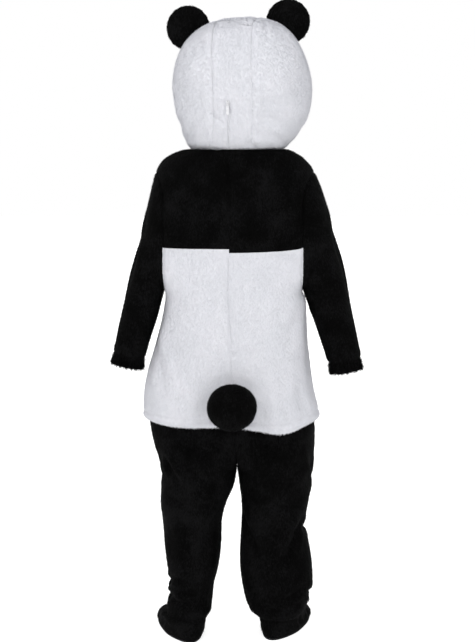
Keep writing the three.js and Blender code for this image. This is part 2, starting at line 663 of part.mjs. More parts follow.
// The seam down the middle, shared by both legs, which ends at the fork. Below it is the inside leg seam.
function innerSeam(side, row, quarter) {
  const own = legTubes[side];
  if (row > FORK_ROW) return { angle: quarter * 180, ...own.at(180, row) };
  const centre = between(CENTRES, row);
  if (row === FORK_ROW) {
    const { p, n } = own.at(180, row);
    return { angle: quarter * 180, p: v3(centre, 0, p.z), n: n.add(v3(0, 0, -1)).normalize() };
  }
  const [left, right] = ["left", "right"].map((name) => {
    const beyond = (angle) => (legTubes[name].point(quarter * angle, row).x - centre) * SIGN[name];
    const angle = quarter * solve(beyond, 60, 180);
    return { angle, ...legTubes[name].at(angle, row) };
  });
  const n = left.n.clone().add(right.n);
  n.x = 0;
  const { angle } = side === "left" ? left : right;
  return { angle, p: v3(centre, (left.p.y + right.p.y) / 2, left.p.z), n: n.normalize() };
}

const LEG_COLUMNS = 6;
const LEG_ROWS = [0, ...steps(0, FORK_ROW, FORK_ROW), ...steps(FORK_ROW, legTubes.left.last, 8)];
const footTubes = {};
for (const side of ["left", "right"]) {
  const ankle = (degrees) => legTubes[side].point(degrees, legTubes[side].last);
  footTubes[side] = tube([ankle, ...FOOT_ROWS.map((row) => footRing(side, row))], -SIGN[side]);
}

// A corner of the ankle seam.
function ankleCorner(side, degrees) {
  const { p, n } = legTubes[side].at(degrees, legTubes[side].last);
  return { p, n: n.add(footTubes[side].at(degrees, 0).n).normalize() };
}

function legGrid(side, quarter) {
  const own = legTubes[side];
  return {
    across: LEG_COLUMNS,
    along: LEG_ROWS.length - 1,
    at: (i, j) => {
      const row = LEG_ROWS[j];
      if (row === own.last) return ankleCorner(side, (quarter * 180 * i) / LEG_COLUMNS);
      const inner = innerSeam(side, row, quarter);
      // The outer half keeps its corners one below another, and the rest spread between them and the inner seam.
      const middle = quarter * BACK;
      const share = (2 * i) / LEG_COLUMNS;
      const angle = share <= 1 ? middle * share : lerp(middle, inner.angle, share - 1);
      const place = i === LEG_COLUMNS ? inner : own.at(angle, row);
      // Down to the fork nothing crosses the middle.
      const limit = between(CENTRES, row) + SIGN[side] * HALF_GAP;
      if (row <= FORK_ROW && (place.p.x - limit) * SIGN[side] < 0) place.p.x = limit;
      return place;
    },
  };
}

for (const side of ["left", "right"]) {
  panel(`leg_back_${side}`, legGrid(side, 1), PLUSH_BLACK);
  panel(`leg_front_${side}`, legGrid(side, -1), PLUSH_BLACK);

  // The foot cover's first row lies on the leg's own corners, and has twice as many.
  const footTube = footTubes[side];
  const corner = (i) => ankleCorner(side, (180 * i) / LEG_COLUMNS);
  const columns = 4 * LEG_COLUMNS;
  const angleOf = (i) => (360 * i) / columns;
  panel(`foot_upper_${side}`, {
    across: columns,
    along: footTube.last,
    closed: true,
    at: (i, j) => {
      if (j) return footTube.at(angleOf(i), j);
      return i % 2 ? halfway(corner((i - 1) / 2), corner((i + 1) / 2)) : corner(i / 2);
    },
  }, PLUSH_BLACK, BULKY_SEAM);

  const outline = Array.from({ length: columns }, (_, i) => {
    const { x, y } = footTube.point(angleOf(i), footTube.last);
    return new THREE.Vector2(x, y);
  });
  const slab = new THREE.ExtrudeGeometry(new THREE.Shape(outline), { depth: SOLE_THICK, bevelEnabled: false });
  add(`sole_${side}`, solidOf(slab.translate(0, 0, SOLE_Z)), SOLE_BLACK);
}

// ---------------------------------------------------------------- ears and tail
// Two padded halves sewn round the rim. Only what stands clear above the hood is kept.
function earHalf(side, facing) {
  const { x, y, z } = EARS[side];
  const profile = [new THREE.Vector2(0, 0), new THREE.Vector2(EAR.radius, 0)];
  for (const a of [0, ...steps(0, 90, 4)]) {
    const height = EAR.rim / 2 + (EAR.thick / 2 - EAR.rim / 2) * Math.sin(a * DEG) ** 0.8;
    profile.push(new THREE.Vector2(a === 90 ? 0 : EAR.radius * Math.cos(a * DEG), height));
  }
  const geometry = new THREE.LatheGeometry(profile, 20);
  if (facing < 0) geometry.rotateX(Math.PI);
  return geometry
    .translate(0, facing * HALF_GAP, 0)
    .rotateZ(HEAD.yaw * DEG)
    .translate(x, y, z);
}

for (const side of ["left", "right"]) {
  add(`ear_${side}_back`, solidOf(earHalf(side, 1)), PLUSH_BLACK, { clearOf: HOOD_PANELS });
  add(`ear_${side}_front`, solidOf(earHalf(side, -1)), PLUSH_BLACK, { clearOf: HOOD_PANELS });
}

const ball = new THREE.SphereGeometry(1, 16, 10);
ball.scale(TAIL.wide, TAIL.deep, TAIL.high).translate(TAIL.x, TAIL.y, TAIL.z);
add("tail", solidOf(ball), PLUSH_BLACK, { clearOf: ["back_lower_left", "back_lower_right"] });

// ---------------------------------------------------------------- zip
// Two tapes inside the back, one below the neck seam and one above it.
function tapeGrid(surface, middle, rows) {
  const edge = (row, far) => {
    const centre = surface.point(middle(row), row);
    const away = (angle) => surface.point(angle, row).distanceTo(centre) - ZIP.tapeHalf;
    return solve(away, middle(row), middle(row) + far);
  };
  return {
    across: 2,
    along: rows.length - 1,
    at: (i, j) => {
      const row = rows[j];
      return surface.at([edge(row, -30), middle(row), edge(row, 30)][i], row);
    },
  };
}
const behind = -CLOTH - ZIP.tapeGap;
const TAPE_WALL = { outer: behind, inner: behind - ZIP.tapeThick, first: 0, last: 0, sides: 0 };
const bodyTapeRows = LEVELS.filter((z) => z >= ZIP.bottom && z < -5).map(bodyRow);
const hoodTapeRows = HOOD_ROWS.filter((row) => row <= tapeTop);
add("zip_tape_body", wall(tapeGrid(bodyTube, zipAngle, bodyTapeRows), TAPE_WALL), TAPE_WHITE);
add("zip_tape_hood", wall(tapeGrid(hoodTube, hoodZip, hoodTapeRows), TAPE_WALL), TAPE_WHITE);

// The slider stops at the top of the slit. Its crown is a small arch, and the tab's bar turns under it.
const stop = hoodTube.at(hoodZip(hoodRow(ZIP.top)), hoodRow(ZIP.top));
const across = v3(stop.n.y, -stop.n.x, 0).normalize();
const upSlit = across.clone().cross(stop.n);
const sliderFrame = new THREE.Matrix4().makeBasis(across, stop.n, upSlit).setPosition(stop.p);

// A box across the slit, from one distance out of the hood to another and from one height to another.
function block(wide, out, high) {
  const box = new THREE.BoxGeometry(wide, out[1] - out[0], high[1] - high[0]);
  return solidOf(box.translate(0, (out[0] + out[1]) / 2, (high[0] + high[1]) / 2));
}
const { crownHalf, crownThick } = SLIDER;
const baseTop = SEAM_GAP + SLIDER.base;
const crownTop = baseTop + SLIDER.crownOut;
const crownReach = SLIDER.crownHigh / 2;
const arch = block(2 * crownHalf, [baseTop - 0.5, crownTop], [-crownReach, crownReach]).subtract(
  block(4 * crownHalf, [baseTop, crownTop - crownThick], [crownThick - crownReach, crownReach - crownThick]),
);
const sliderBody = block(SLIDER.wide, [SEAM_GAP, baseTop], [-SLIDER.high / 2, SLIDER.high / 2]).add(arch);

// The tab hangs plumb from its bar, which is the strip above its window.
const hinge = stop.p.clone().addScaledVector(stop.n, (baseTop + crownTop - crownThick) / 2);
const bar = TAB.thick / 2;
const tabOutline = new THREE.Shape();
tabOutline.moveTo(-TAB.wide / 2, bar);
tabOutline.lineTo(-TAB.wide / 2, bar - TAB.long + TAB.wide / 2);
tabOutline.absarc(0, bar - TAB.long + TAB.wide / 2, TAB.wide / 2, Math.PI, 2 * Math.PI);
tabOutline.lineTo(TAB.wide / 2, bar);
const tabWindow = new THREE.Path();
tabWindow.moveTo(-TAB.windowWide / 2, -bar);
tabWindow.lineTo(TAB.windowWide / 2, -bar);
tabWindow.lineTo(TAB.windowWide / 2, -bar - TAB.windowLong);
tabWindow.lineTo(-TAB.windowWide / 2, -bar - TAB.windowLong);
tabOutline.holes.push(tabWindow);
const tabPlate = new THREE.ExtrudeGeometry(tabOutline, { depth: TAB.thick, bevelEnabled: false, curveSegments: 6 });
tabPlate.translate(0, 0, -bar);
const up = v3(0, 0, 1);
const tabFrame = new THREE.Matrix4().makeBasis(across, up, across.clone().cross(up)).setPosition(hinge);

// ---------------------------------------------------------------- the costume
const costume = new THREE.Group();
costume.name = "panda_costume";

function mesh(name, geometry, material) {
  const made = new THREE.Mesh(geometry, new THREE.MeshStandardMaterial(material));
  made.name = name;
  costume.add(made);
  return made;
}

function geometryOf(solid) {
  const { vertProperties, triVerts } = solid.getMesh();
  const geometry = new THREE.BufferGeometry();
  geometry.setAttribute("position", new THREE.Float32BufferAttribute(vertProperties, 3));
  geometry.setIndex([...triVerts]);
  return geometry;
}

for (const [name, { solid, material }] of parts) mesh(name, geometryOf(solid), material);
mesh("zip_slider", geometryOf(sliderBody), ZIP_WHITE).applyMatrix4(sliderFrame);
mesh("zip_pull", tabPlate, ZIP_WHITE).applyMatrix4(tabFrame);

export default costume;
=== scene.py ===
# %% [markdown]
# A child's plush panda costume, worn by nobody: a hooded one-piece suit with padded ears, a tail, gathered cuffs,
# foot covers and a zip down the back. The CAD frame gives every panel its place. Here each panel becomes a fine
# sheet of cloth on the same form, with its seams, folds and pile.

import math

import bmesh
import bpy
import numpy as np
from mathutils import Matrix, Vector
from mathutils.bvhtree import BVHTree
from mathutils.kdtree import KDTree


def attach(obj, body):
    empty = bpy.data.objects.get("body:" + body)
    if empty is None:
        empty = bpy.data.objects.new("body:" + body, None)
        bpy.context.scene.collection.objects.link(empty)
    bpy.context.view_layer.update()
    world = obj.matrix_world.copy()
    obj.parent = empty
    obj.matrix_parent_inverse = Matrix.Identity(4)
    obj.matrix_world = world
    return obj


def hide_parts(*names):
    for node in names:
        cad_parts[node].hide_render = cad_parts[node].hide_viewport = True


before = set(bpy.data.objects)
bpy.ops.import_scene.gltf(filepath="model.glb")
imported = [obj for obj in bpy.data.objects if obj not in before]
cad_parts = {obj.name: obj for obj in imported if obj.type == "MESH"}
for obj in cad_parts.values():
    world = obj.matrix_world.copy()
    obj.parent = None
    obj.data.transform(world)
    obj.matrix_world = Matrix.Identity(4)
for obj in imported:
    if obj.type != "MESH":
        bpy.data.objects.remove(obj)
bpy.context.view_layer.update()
MM = 0.001

# %% [markdown]
# The camera comes first. It stands three metres behind the wearer, a little above the middle of the back, and looks
# down by six degrees, so the hem and the soles curve slightly.

# %% Camera
LENS, SENSOR = 78.46, 36  # mm
STANDS_AT, LOOKS_DOWN = (-0.0117, 3.0, -0.055), 5.998  # metres, degrees
camera_data = bpy.data.cameras.new("camera")
camera_data.lens = LENS
camera_data.sensor_width = SENSOR
camera = bpy.data.objects.new("camera", camera_data)
camera.location = STANDS_AT
camera.rotation_euler = (math.radians(90 - LOOKS_DOWN), 0, math.radians(180))
bpy.context.collection.objects.link(camera)
bpy.context.scene.camera = camera
print("camera:", LENS, "mm lens,", LOOKS_DOWN, "degrees down")

# %% [markdown]
# Plush is a knit with a short dense pile. Its colour is set by hex values as a dyer's card gives them. One function
# turns them into the linear values that the shaders work in, and another adds a node with its settings and links.

# %% Colours and nodes
def hex_colour(text, alpha=1.0):
    values = [int(text[k : k + 2], 16) / 255 for k in (0, 2, 4)]
    linear = [v / 12.92 if v <= 0.04045 else ((v + 0.055) / 1.055) ** 2.4 for v in values]
    return (*linear, alpha)


def add_node(tree, kind, settings=None, links=None):
    node = tree.nodes.new(kind)
    for key, value in (settings or {}).items():
        if isinstance(key, int) or key in node.inputs:
            node.inputs[key].default_value = value
        else:
            setattr(node, key, value)
    for key, source in (links or {}).items():
        tree.links.new(source, node.inputs[key])
    return node


def new_material(name):
    material = bpy.data.materials.new(name)
    material.use_nodes = True
    material.node_tree.nodes.clear()
    return material, material.node_tree


def finish_material(tree, shader):
    add_node(tree, "ShaderNodeOutputMaterial", links={"Surface": shader.outputs[0]})


def set_stops(color_ramp, stops):
    """Sets a ramp's places and colours, the first and the last on the two stops that it has."""
    elements = color_ramp.elements
    for place, _ in stops[1:-1]:
        elements.new(place)
    elements[0].position, elements[-1].position = stops[0][0], stops[-1][0]
    for element, (_, colour) in zip(elements, stops):
        element.color = hex_colour(colour)


print("a middle grey in linear values:", hex_colour("808080"))

# %% [markdown]
# Short pile plush: polyester knitted with loops that are cut and brushed. It is matt, each tuft catches a little
# light at a grazing angle (the sheen), and hands and folds leave lighter and darker patches a few centimetres wide.
# The pile's own grain is about a millimetre. Tufts carry a random number, so that no two are quite alike. The bare
# cloth under them has none, so it takes the ramp's darker end: painted shade between the tufts.

# %% Plush materials
PATCHES, CLUMPS, GRAIN = 17.0, 210.0, 900.0  # per metre: about 60, 5 and 1 mm wide


def plush(name, dark, middle, light, roughness, sheen, sheen_tint, sheen_roughness):
    material, tree = new_material(name)
    place = add_node(tree, "ShaderNodeTexCoord").outputs["Object"]
    noise = "ShaderNodeTexNoise"
    patches = add_node(tree, noise, {"Scale": PATCHES, "Detail": 4.0, "Roughness": 0.55}, {"Vector": place})
    clumps = add_node(tree, noise, {"Scale": CLUMPS, "Detail": 3.0, "Roughness": 0.6}, {"Vector": place})
    grain = add_node(tree, noise, {"Scale": GRAIN, "Detail": 2.0, "Roughness": 0.6}, {"Vector": place})
    # The tuft number is 0 on the bare cloth, which is painted darker than the blades: painted shade between the
    # tufts.
    tuft = add_node(tree, "ShaderNodeAttribute", {"attribute_name": "tuft"})
    mixed = add_node(
        tree,
        "ShaderNodeMath",
        {"operation": "MULTIPLY_ADD", 1: 0.45},
        {0: clumps.outputs[0], 2: patches.outputs[0]},
    )
    tone_and_ground_shade = add_node(
        tree,
        "ShaderNodeMath",
        {"operation": "MULTIPLY_ADD", 1: 0.3},
        {0: tuft.outputs["Fac"], 2: mixed.outputs[0]},
    )
    # Random tone plus painted shade: the cloth between the blades comes out darker.
    colour = add_node(tree, "ShaderNodeValToRGB", links={"Fac": tone_and_ground_shade.outputs[0]})
    set_stops(colour.color_ramp, [(0.5, dark), (0.8, middle), (1.0, light)])
    relief = add_node(
        tree,
        "ShaderNodeMath",
        {"operation": "MULTIPLY_ADD", 1: 0.5},
        {0: grain.outputs[0], 2: clumps.outputs[0]},
    )
    bump = add_node(tree, "ShaderNodeBump", {"Strength": 0.4, "Distance": 0.0012}, {"Height": relief.outputs[0]})
    shader = add_node(
        tree,
        "ShaderNodeBsdfPrincipled",
        {
            "Roughness": roughness,
            "Sheen Weight": sheen,
            "Sheen Roughness": sheen_roughness,
            "Sheen Tint": hex_colour(sheen_tint),
            "Specular IOR Level": 0.08,
        },
        {"Base Color": colour.outputs[0], "Normal": bump.outputs[0]},
    )
    finish_material(tree, shader)
    return material


BLACK_PLUSH = plush("short_pile_plush_black", "000000", "010101", "111112", 0.9, 0.06, "5a5a5c", 0.3)
WHITE_PLUSH = plush("short_pile_plush_white", "d8d9de", "dcdde2", "e1e1e6", 0.9, 0.02, "ffffff", 0.5)
print("plush:", BLACK_PLUSH.name, WHITE_PLUSH.name)

# %% [markdown]
# The inside of plush is its bare ground knit: fine upright ribs of about a millimetre, flat and without sheen. The
# zip's tape is a close twill, and the soles are a felted non-slip cloth. All three are patterns of a known pitch.

# %% Knit, twill and felt
def woven(name, dark, light, pitch, angle, roughness):
    material, tree = new_material(name)
    place = add_node(tree, "ShaderNodeTexCoord").outputs["Object"]
    turned = add_node(tree, "ShaderNodeMapping", {"Rotation": (0, math.radians(angle), 0)}, {"Vector": place})
    # A wave texture of scale 1 has one band every 2 pi / 20 units.
    bands = 2 * math.pi / 20 / pitch
    ribs = add_node(tree, "ShaderNodeTexWave", {"Scale": bands, "Distortion": 0.6}, {"Vector": turned.outputs[0]})
    fibres = add_node(tree, "ShaderNodeTexNoise", {"Scale": 600.0, "Detail": 3.0}, {"Vector": place})
    mixed = add_node(
        tree,
        "ShaderNodeMath",
        {"operation": "MULTIPLY_ADD", 1: 0.5},
        {0: fibres.outputs[0], 2: ribs.outputs["Fac"]},
    )
    colour = add_node(tree, "ShaderNodeValToRGB", links={"Fac": mixed.outputs[0]})
    set_stops(colour.color_ramp, [(0.2, dark), (0.9, light)])
    bump = add_node(tree, "ShaderNodeBump", {"Strength": 0.4, "Distance": 0.0004}, {"Height": mixed.outputs[0]})
    shader = add_node(
        tree,
        "ShaderNodeBsdfPrincipled",
        {"Roughness": roughness, "Specular IOR Level": 0.25},
        {"Base Color": colour.outputs[0], "Normal": bump.outputs[0]},
    )
    finish_material(tree, shader)
    return material


WHITE_KNIT = woven("ground_knit_white", "d4d4d8", "e8e8ea", 0.0014, 0, 0.9)
BLACK_KNIT = woven("ground_knit_black", "08080a", "141416", 0.0014, 0, 0.9)
TAPE_TWILL = woven("twill_tape_white", "cfcfd3", "e6e6e8", 0.001, 45, 0.75)
SOLE_FELT = woven("felted_sole_black", "0a0a0b", "1a1a1c", 0.003, 30, 0.85)
print("flat cloths:", WHITE_KNIT.name, BLACK_KNIT.name, TAPE_TWILL.name, SOLE_FELT.name)

# %% [markdown]
# The zip's slider is die-cast zinc with baked white enamel, and its teeth are moulded nylon. Both are hard and
# slightly glossy, with faint unevenness from the mould and fine scuffs that take the gloss off here and there.

# %% Enamel and nylon
def moulded(name, dark, light, roughness, coat):
    material, tree = new_material(name)
    place = add_node(tree, "ShaderNodeTexCoord").outputs["Object"]
    flow = add_node(tree, "ShaderNodeTexNoise", {"Scale": 350.0, "Detail": 3.0}, {"Vector": place})
    colour = add_node(tree, "ShaderNodeValToRGB", links={"Fac": flow.outputs[0]})
    set_stops(colour.color_ramp, [(0.3, dark), (0.7, light)])
    scuffs = add_node(tree, "ShaderNodeMapRange", {"To Min": roughness - 0.08, "To Max": roughness + 0.12},
                      {"Value": flow.outputs[0]})
    bump = add_node(tree, "ShaderNodeBump", {"Strength": 0.15, "Distance": 0.0002}, {"Height": flow.outputs[0]})
    shader = add_node(
        tree,
        "ShaderNodeBsdfPrincipled",
        {"Coat Weight": coat, "Coat Roughness": 0.2},
        {"Base Color": colour.outputs[0], "Roughness": scuffs.outputs[0], "Normal": bump.outputs[0]},
    )
    finish_material(tree, shader)
    return material


ENAMEL = moulded("white_enamelled_zinc", "c9c9cd", "e2e2e5", 0.38, 0.3)
NYLON = moulded("white_nylon_teeth", "d2d2d6", "e9e9ec", 0.45, 0.0)
print("zip:", ENAMEL.name, NYLON.name)

# %% [markdown]
# The costume's form is a set of smooth tubes, each through a short table of sections in millimetres, like the
# sections of a ship's hull. A point on a tube has an angle round it and a row along it. Whole arrays of points are
# worked out at once.

# %% Rings and tubes
BACK = 90.0
FRONT = 270.0


def unit(vectors):
    return vectors / np.maximum(np.linalg.norm(vectors, axis=-1, keepdims=True), 1e-9)


def lerp(a, b, t):
    return a + (b - a) * t


def ring(middle, side, back, half, rear, fore, power=2.3, egg=0.0):
    """A rounded section: half wide to each side, rear and fore deep. egg makes its back narrower than its front."""
    middle, side, back = (np.array(v, float) for v in (middle, side, back))

    def at(degrees):
        turn = np.radians(degrees)
        c, s = np.cos(turn), np.sin(turn)
        c = np.sign(c) * np.abs(c) ** (2 / power)
        s = np.sign(s) * np.abs(s) ** (2 / power)
        wide = (c * half * (1 - egg * s))[:, None]
        deep = (s * np.where(s > 0, rear, fore))[:, None]
        return middle + wide * side + deep * back

    return at


def level_ring(z, start, end, rear, fore, power):
    half = abs(start - end) / 2
    return ring(((start + end) / 2, 0, z), (np.sign(start - end), 0, 0), (0, 1, 0), half, rear, fore, power)


class Tube:
    """A smooth surface through rings. facing is 1 where its outside is on the right of its rows, and -1 otherwise."""

    def __init__(self, rings, facing):
        self.rings, self.facing, self.last = rings, facing, len(rings) - 1
        middles = [r(np.array([0.0, 90.0, 180.0, 270.0])).mean(0) for r in rings]
        gaps = [np.linalg.norm(b - a) + 1 for a, b in zip(middles, middles[1:])]
        self.knots = np.concatenate([[0], np.cumsum(gaps)])

    def _between(self, k, degrees, t):
        span = self.knots[k + 1] - self.knots[k]

        def slope(i):
            low, high = max(i - 1, 0), min(i + 1, self.last)
            change = self.rings[high](degrees) - self.rings[low](degrees)
            return change * span / (self.knots[high] - self.knots[low])

        t = t[:, None]
        return (
            self.rings[k](degrees) * (2 * t**3 - 3 * t**2 + 1)
            + slope(k) * (t**3 - 2 * t**2 + t)
            + self.rings[k + 1](degrees) * (3 * t**2 - 2 * t**3)
            + slope(k + 1) * (t**3 - t**2)
        )

    def point(self, degrees, row):
        degrees, row = np.broadcast_arrays(np.asarray(degrees, float), np.asarray(row, float))
        shape, degrees, row = degrees.shape, degrees.ravel(), row.ravel()
        found = np.empty((len(row), 3))
        stretch = np.clip(np.floor(row).astype(int), 0, self.last - 1)
        for k in np.unique(stretch):
            here = stretch == k
            found[here] = self._between(k, degrees[here], row[here] - k)
        return found.reshape(*shape, 3)

    def out(self, degrees, row):
        """The direction out of the tube."""
        round_it = self.point(degrees + 0.5, row) - self.point(degrees - 0.5, row)
        row = np.asarray(row, float)
        ahead, behind = np.minimum(row + 0.02, self.last), np.maximum(row - 0.02, 0)
        along = self.point(degrees, ahead) - self.point(degrees, behind)
        return unit(np.cross(round_it, along)) * self.facing


def solve(test, low, high):
    """Where the test is zero between low and high, for whole arrays at once, by halving thirty times."""
    low, high = (np.array(x, float) for x in np.broadcast_arrays(low, high))
    rising = test(low) < test(high)
    for _ in range(30):
        middle = (low + high) / 2
        below = (test(middle) < 0) == rising
        low, high = np.where(below, middle, low), np.where(below, high, middle)
    return (low + high) / 2


print("round a tube, the back is at", BACK, "degrees and the front at", FRONT)

# %% [markdown]
# The body tube goes from the hem up to the neck. Its tables match the CAD frame's. The hem hangs lower at four
# places, most of all a little to the right of the tail.

# %% Body form
BODY = [  # z, left, right, back, front, power
    (-580, 185, 184, 114, 120, 2.5),
    (-558, 191, 184, 120, 126, 2.5),
    (-505, 185, 172, 121, 129, 2.5),
    (-435, 166, 163, 117, 125, 2.5),
    (-372, 150, 158, 111, 119, 2.7),
    (-322, 141, 155, 106, 112, 3.0),
    (-300, 143, 149, 105, 110, 3.1),
    (-262, 163, 170, 104, 108, 3.0),
    (-200, 178, 186, 104, 106, 2.8),
    (-130, 180, 190, 102, 101, 2.8),
    (-80, 172, 184, 98, 94, 2.7),
    (-48, 160, 173, 94, 86, 2.6),
    (-23, 142, 152, 91, 80, 2.4),
    (-8, 113, 126, 88, 76, 2.3),
    (-3, 86, 106, 84, 74, 2.2),
]
HEM_LOBES = [(120, 21, 18), (62, 25, 5), (235, 30, 8), (318, 26, 6)]  # angle, spread, drop


def hem_drop(degrees):
    turn = np.mod(degrees, 360)
    return sum(drop * np.exp(-(((turn - angle) / spread) ** 2)) for angle, spread, drop in HEM_LOBES)


def sagging(level):
    return lambda degrees: level(degrees) - np.outer(hem_drop(degrees), (0, 0, 1))


body_rings = [level_ring(z, left, -right, back, front, power) for z, left, right, back, front, power in BODY]
body_rings[0] = sagging(body_rings[0])
body = Tube(body_rings, 1)
row_steps = np.linspace(0, body.last, 600)
side_heights = body.point(0.0, row_steps)[:, 2]


def body_row(z):
    return np.interp(z, side_heights, row_steps)


ZIP_LINE = [(-640, 0), (-400, 1), (-300, 9), (-214, 6), (120, 8)]  # z, x


def zip_x(z):
    return np.interp(z, [p[0] for p in ZIP_LINE], [p[1] for p in ZIP_LINE])


def zip_angle_at(tube, row, low=60.0, high=120.0):
    height = tube.point(BACK, row)[..., 2]
    return solve(lambda angle: tube.point(angle, row)[..., 0] - zip_x(height), np.full(np.shape(row), low), high)


zip_angles = zip_angle_at(body, row_steps)


def zip_angle(row):
    return np.interp(row, row_steps, zip_angles)


print("body rows:", body.last, "hem lowest:", round(float(body.point(120.0, 0.0)[2]), 1), "mm")

# %% [markdown]
# An armhole is cut almost in an upright plane. Its rim starts at the top of the shoulder, runs down the back, round
# the underarm and up the front. The sleeve starts on the same rim, so both edges meet.

# %% Armholes
HOLE_TOP, HOLE_BOTTOM = -48, -300
HOLE_X = {"left": 145, "right": -149}
UPRIGHT_TO, UPRIGHT_FROM = -110, -262  # heights between which the rim's plane is upright
hole_middle, hole_half = (HOLE_TOP + HOLE_BOTTOM) / 2, (HOLE_TOP - HOLE_BOTTOM) / 2


def body_side(side, z):
    return float(body.point(0.0 if side == "left" else 180.0, body_row(z))[0])


def hole_x(side, z):
    straight = HOLE_X[side]
    upper = np.clip((z - UPRIGHT_TO) / (HOLE_TOP - UPRIGHT_TO), 0, 1) ** 2
    lower = np.clip((z - UPRIGHT_FROM) / (HOLE_BOTTOM - UPRIGHT_FROM), 0, 1) ** 2
    top_lean = body_side(side, HOLE_TOP) - straight
    bottom_lean = body_side(side, HOLE_BOTTOM) - straight
    return straight + top_lean * upper + bottom_lean * lower


def rim_angle(side, turn):
    z = hole_middle + hole_half * np.cos(np.radians(turn))
    row = body_row(z)
    at_back = np.sin(np.radians(turn)) >= 0
    seam = 0.0 if side == "left" else 180.0
    middle = np.where(at_back, BACK, -BACK if side == "left" else FRONT)
    x = np.abs(hole_x(side, z))

    def beyond(angle):
        return np.abs(body.point(angle, row)[..., 0]) - x

    seams = np.full(np.shape(turn), seam)
    on_seam = (beyond(seams) <= 1e-6) | (np.mod(np.asarray(turn, float), 180) == 0)
    return np.where(on_seam, seams, solve(beyond, seams, middle)), row


def rim_point(side, turn):
    angle, row = rim_angle(side, turn)
    return body.point(angle, row)


def rim_out(side, turn):
    along = rim_point(side, turn + 0.5) - rim_point(side, turn - 0.5)
    n = unit(np.stack([np.zeros(len(along)), along[:, 2], -along[:, 1]], 1))
    p = rim_point(side, turn)
    outwards = n[:, 1] * p[:, 1] + n[:, 2] * (p[:, 2] - hole_middle)
    return n * np.where(outwards < 0, -1, 1)[:, None]


print("left armhole's rim at the back:", rim_point("left", np.array([90.0])).round(1))

# %% [markdown]
# Every panel is a grid that is bent onto its form. A map turns the grid's two shares into points, in millimetres.
# The grid's lines are then spread evenly over the cloth and crowded a little at the edges, where seams need detail.

# %% From a map to an even grid
CLOTH_STEP = 5.0  # mm between the grid's lines
CROWDING = 0.55
TRIAL_COLUMNS, TRIAL_ROWS = 121, 25


def shares_along(lengths, crowd, count):
    """Shares of a line that lie evenly along its length, or crowd towards its ends."""
    far = np.concatenate([[0], np.cumsum(lengths)])
    even = np.linspace(0, 1, count + 1)
    if crowd:
        even = even - CROWDING * np.sin(2 * np.pi * even) / (2 * np.pi)
    return np.interp(even, far / far[-1], np.linspace(0, 1, len(far)))


def lay_grid(form, closed=False, step=CLOTH_STEP, fixed_half=False):
    """The shares of a form's grid. With fixed_half one column lies on share 0.5, where a strip has its slit."""
    trial = form(np.linspace(0, 1, TRIAL_ROWS), np.linspace(0, 1, TRIAL_COLUMNS))
    across = np.linalg.norm(np.diff(trial, axis=1), axis=2).mean(0)
    along = np.linalg.norm(np.diff(trial, axis=0), axis=2).mean(1)
    columns = max(8, int(round(across.sum() / step)))
    columns += columns % 2
    rows = max(6, int(round(along.sum() / step)))
    us = shares_along(across, not closed, columns)
    if fixed_half:
        half = shares_along(across[: len(across) // 2], False, columns // 2) / 2
        us = np.concatenate([half, (0.5 + half)[1:]])
    return us, shares_along(along, True, rows)


def swell(points, size, seed):
    """A smooth unevenness between about -1 and 1, with humps of about this size in millimetres."""
    chance = np.random.default_rng(seed)
    total = np.zeros(points.shape[:-1])
    for _ in range(8):
        direction = unit(chance.normal(size=3)) * 2 * np.pi / (size * chance.uniform(1.1, 2.4))
        total += np.sin(points @ direction + chance.uniform(0, 2 * np.pi))
    return total / 4


print("cloth grid:", CLOTH_STEP, "mm between lines")

# %% [markdown]
# A crease is a soft trough or ridge along a listed line. Its points are given as seen from one side of
# the costume, and each one is dropped onto the cloth there. Width and depth are in millimetres, and a negative depth
# is a trough. It fades out towards both ends.

# %% Creases
OFF_THE_CLOTH = 30  # mm: a crease's point this far from the cloth is a mistake
PUSHED_UP = 0.35  # the share of a trough's depth that stands up beside it
VIEWS = {"back": (0, 2, 1, 1), "front": (0, 2, 1, -1), "left": (1, 2, 0, 1), "right": (1, 2, 0, -1)}


def survey(tube):
    """Points and outward directions all over a tube, on which creases are laid the same for all of its panels."""
    turn, row = np.meshgrid(np.arange(0.0, 360.0, 3.0), np.linspace(0, tube.last, 110))
    return tube.point(turn, row).reshape(-1, 3), tube.out(turn, row).reshape(-1, 3)


def crease_height(points, creases, whole):
    """How far each point moves out. The creases' points are dropped onto the survey of the whole tube."""
    flat_points = points.reshape(-1, 3)
    whole_points, whole_normals = whole
    height = np.zeros(len(flat_points))
    for view, line, width, depth in creases:
        a, b, c, sign = VIEWS[view]
        faces_it = whole_normals[:, c] * sign > -0.05
        seen = whole_points[faces_it][:, [a, b]]
        spots, missed = [], 0.0
        for spot in line:
            gap = np.linalg.norm(seen - np.array(spot, float), axis=1)
            missed = max(missed, gap.min())
            spots.append(whole_points[faces_it][gap.argmin()])
        if missed > OFF_THE_CLOTH:
            print("a crease is off the cloth by", round(missed), "mm:", view, line[0])
        spots = np.array(spots)
        lengths = np.linalg.norm(np.diff(spots, axis=0), axis=1)
        total = lengths.sum()
        best = np.full(len(flat_points), 1e9)
        place = np.zeros(len(flat_points))
        run = 0.0
        for start, end, length in zip(spots, spots[1:], np.maximum(lengths, 0.1)):
            t = np.clip(((flat_points - start) @ (end - start)) / length**2, 0, 1)
            gap = np.linalg.norm(flat_points - (start + t[:, None] * (end - start)), axis=1)
            nearer = gap < best
            best = np.where(nearer, gap, best)
            place = np.where(nearer, (run + t * length) / total, place)
            run += length
        fade = np.clip(np.sin(np.pi * np.clip(place, 0.02, 0.98)), 0, 1) ** 0.6
        # A trough pushes a little cloth up on either side of it.
        across = best / width
        height += depth * fade * (np.exp(-(across**2)) - PUSHED_UP * np.exp(-(((across - 1.9) / 0.9) ** 2)))
    return height.reshape(points.shape[:-1])


print("creases are laid as seen from:", list(VIEWS))

# %% [markdown]
# Where two panels are sewn, the allowances behind the seam pull the pile in, so a seam is a narrow valley with
# slight puckers. A turned hem is a soft roll with a stitched line behind it. Both depend on the distance to the edge.

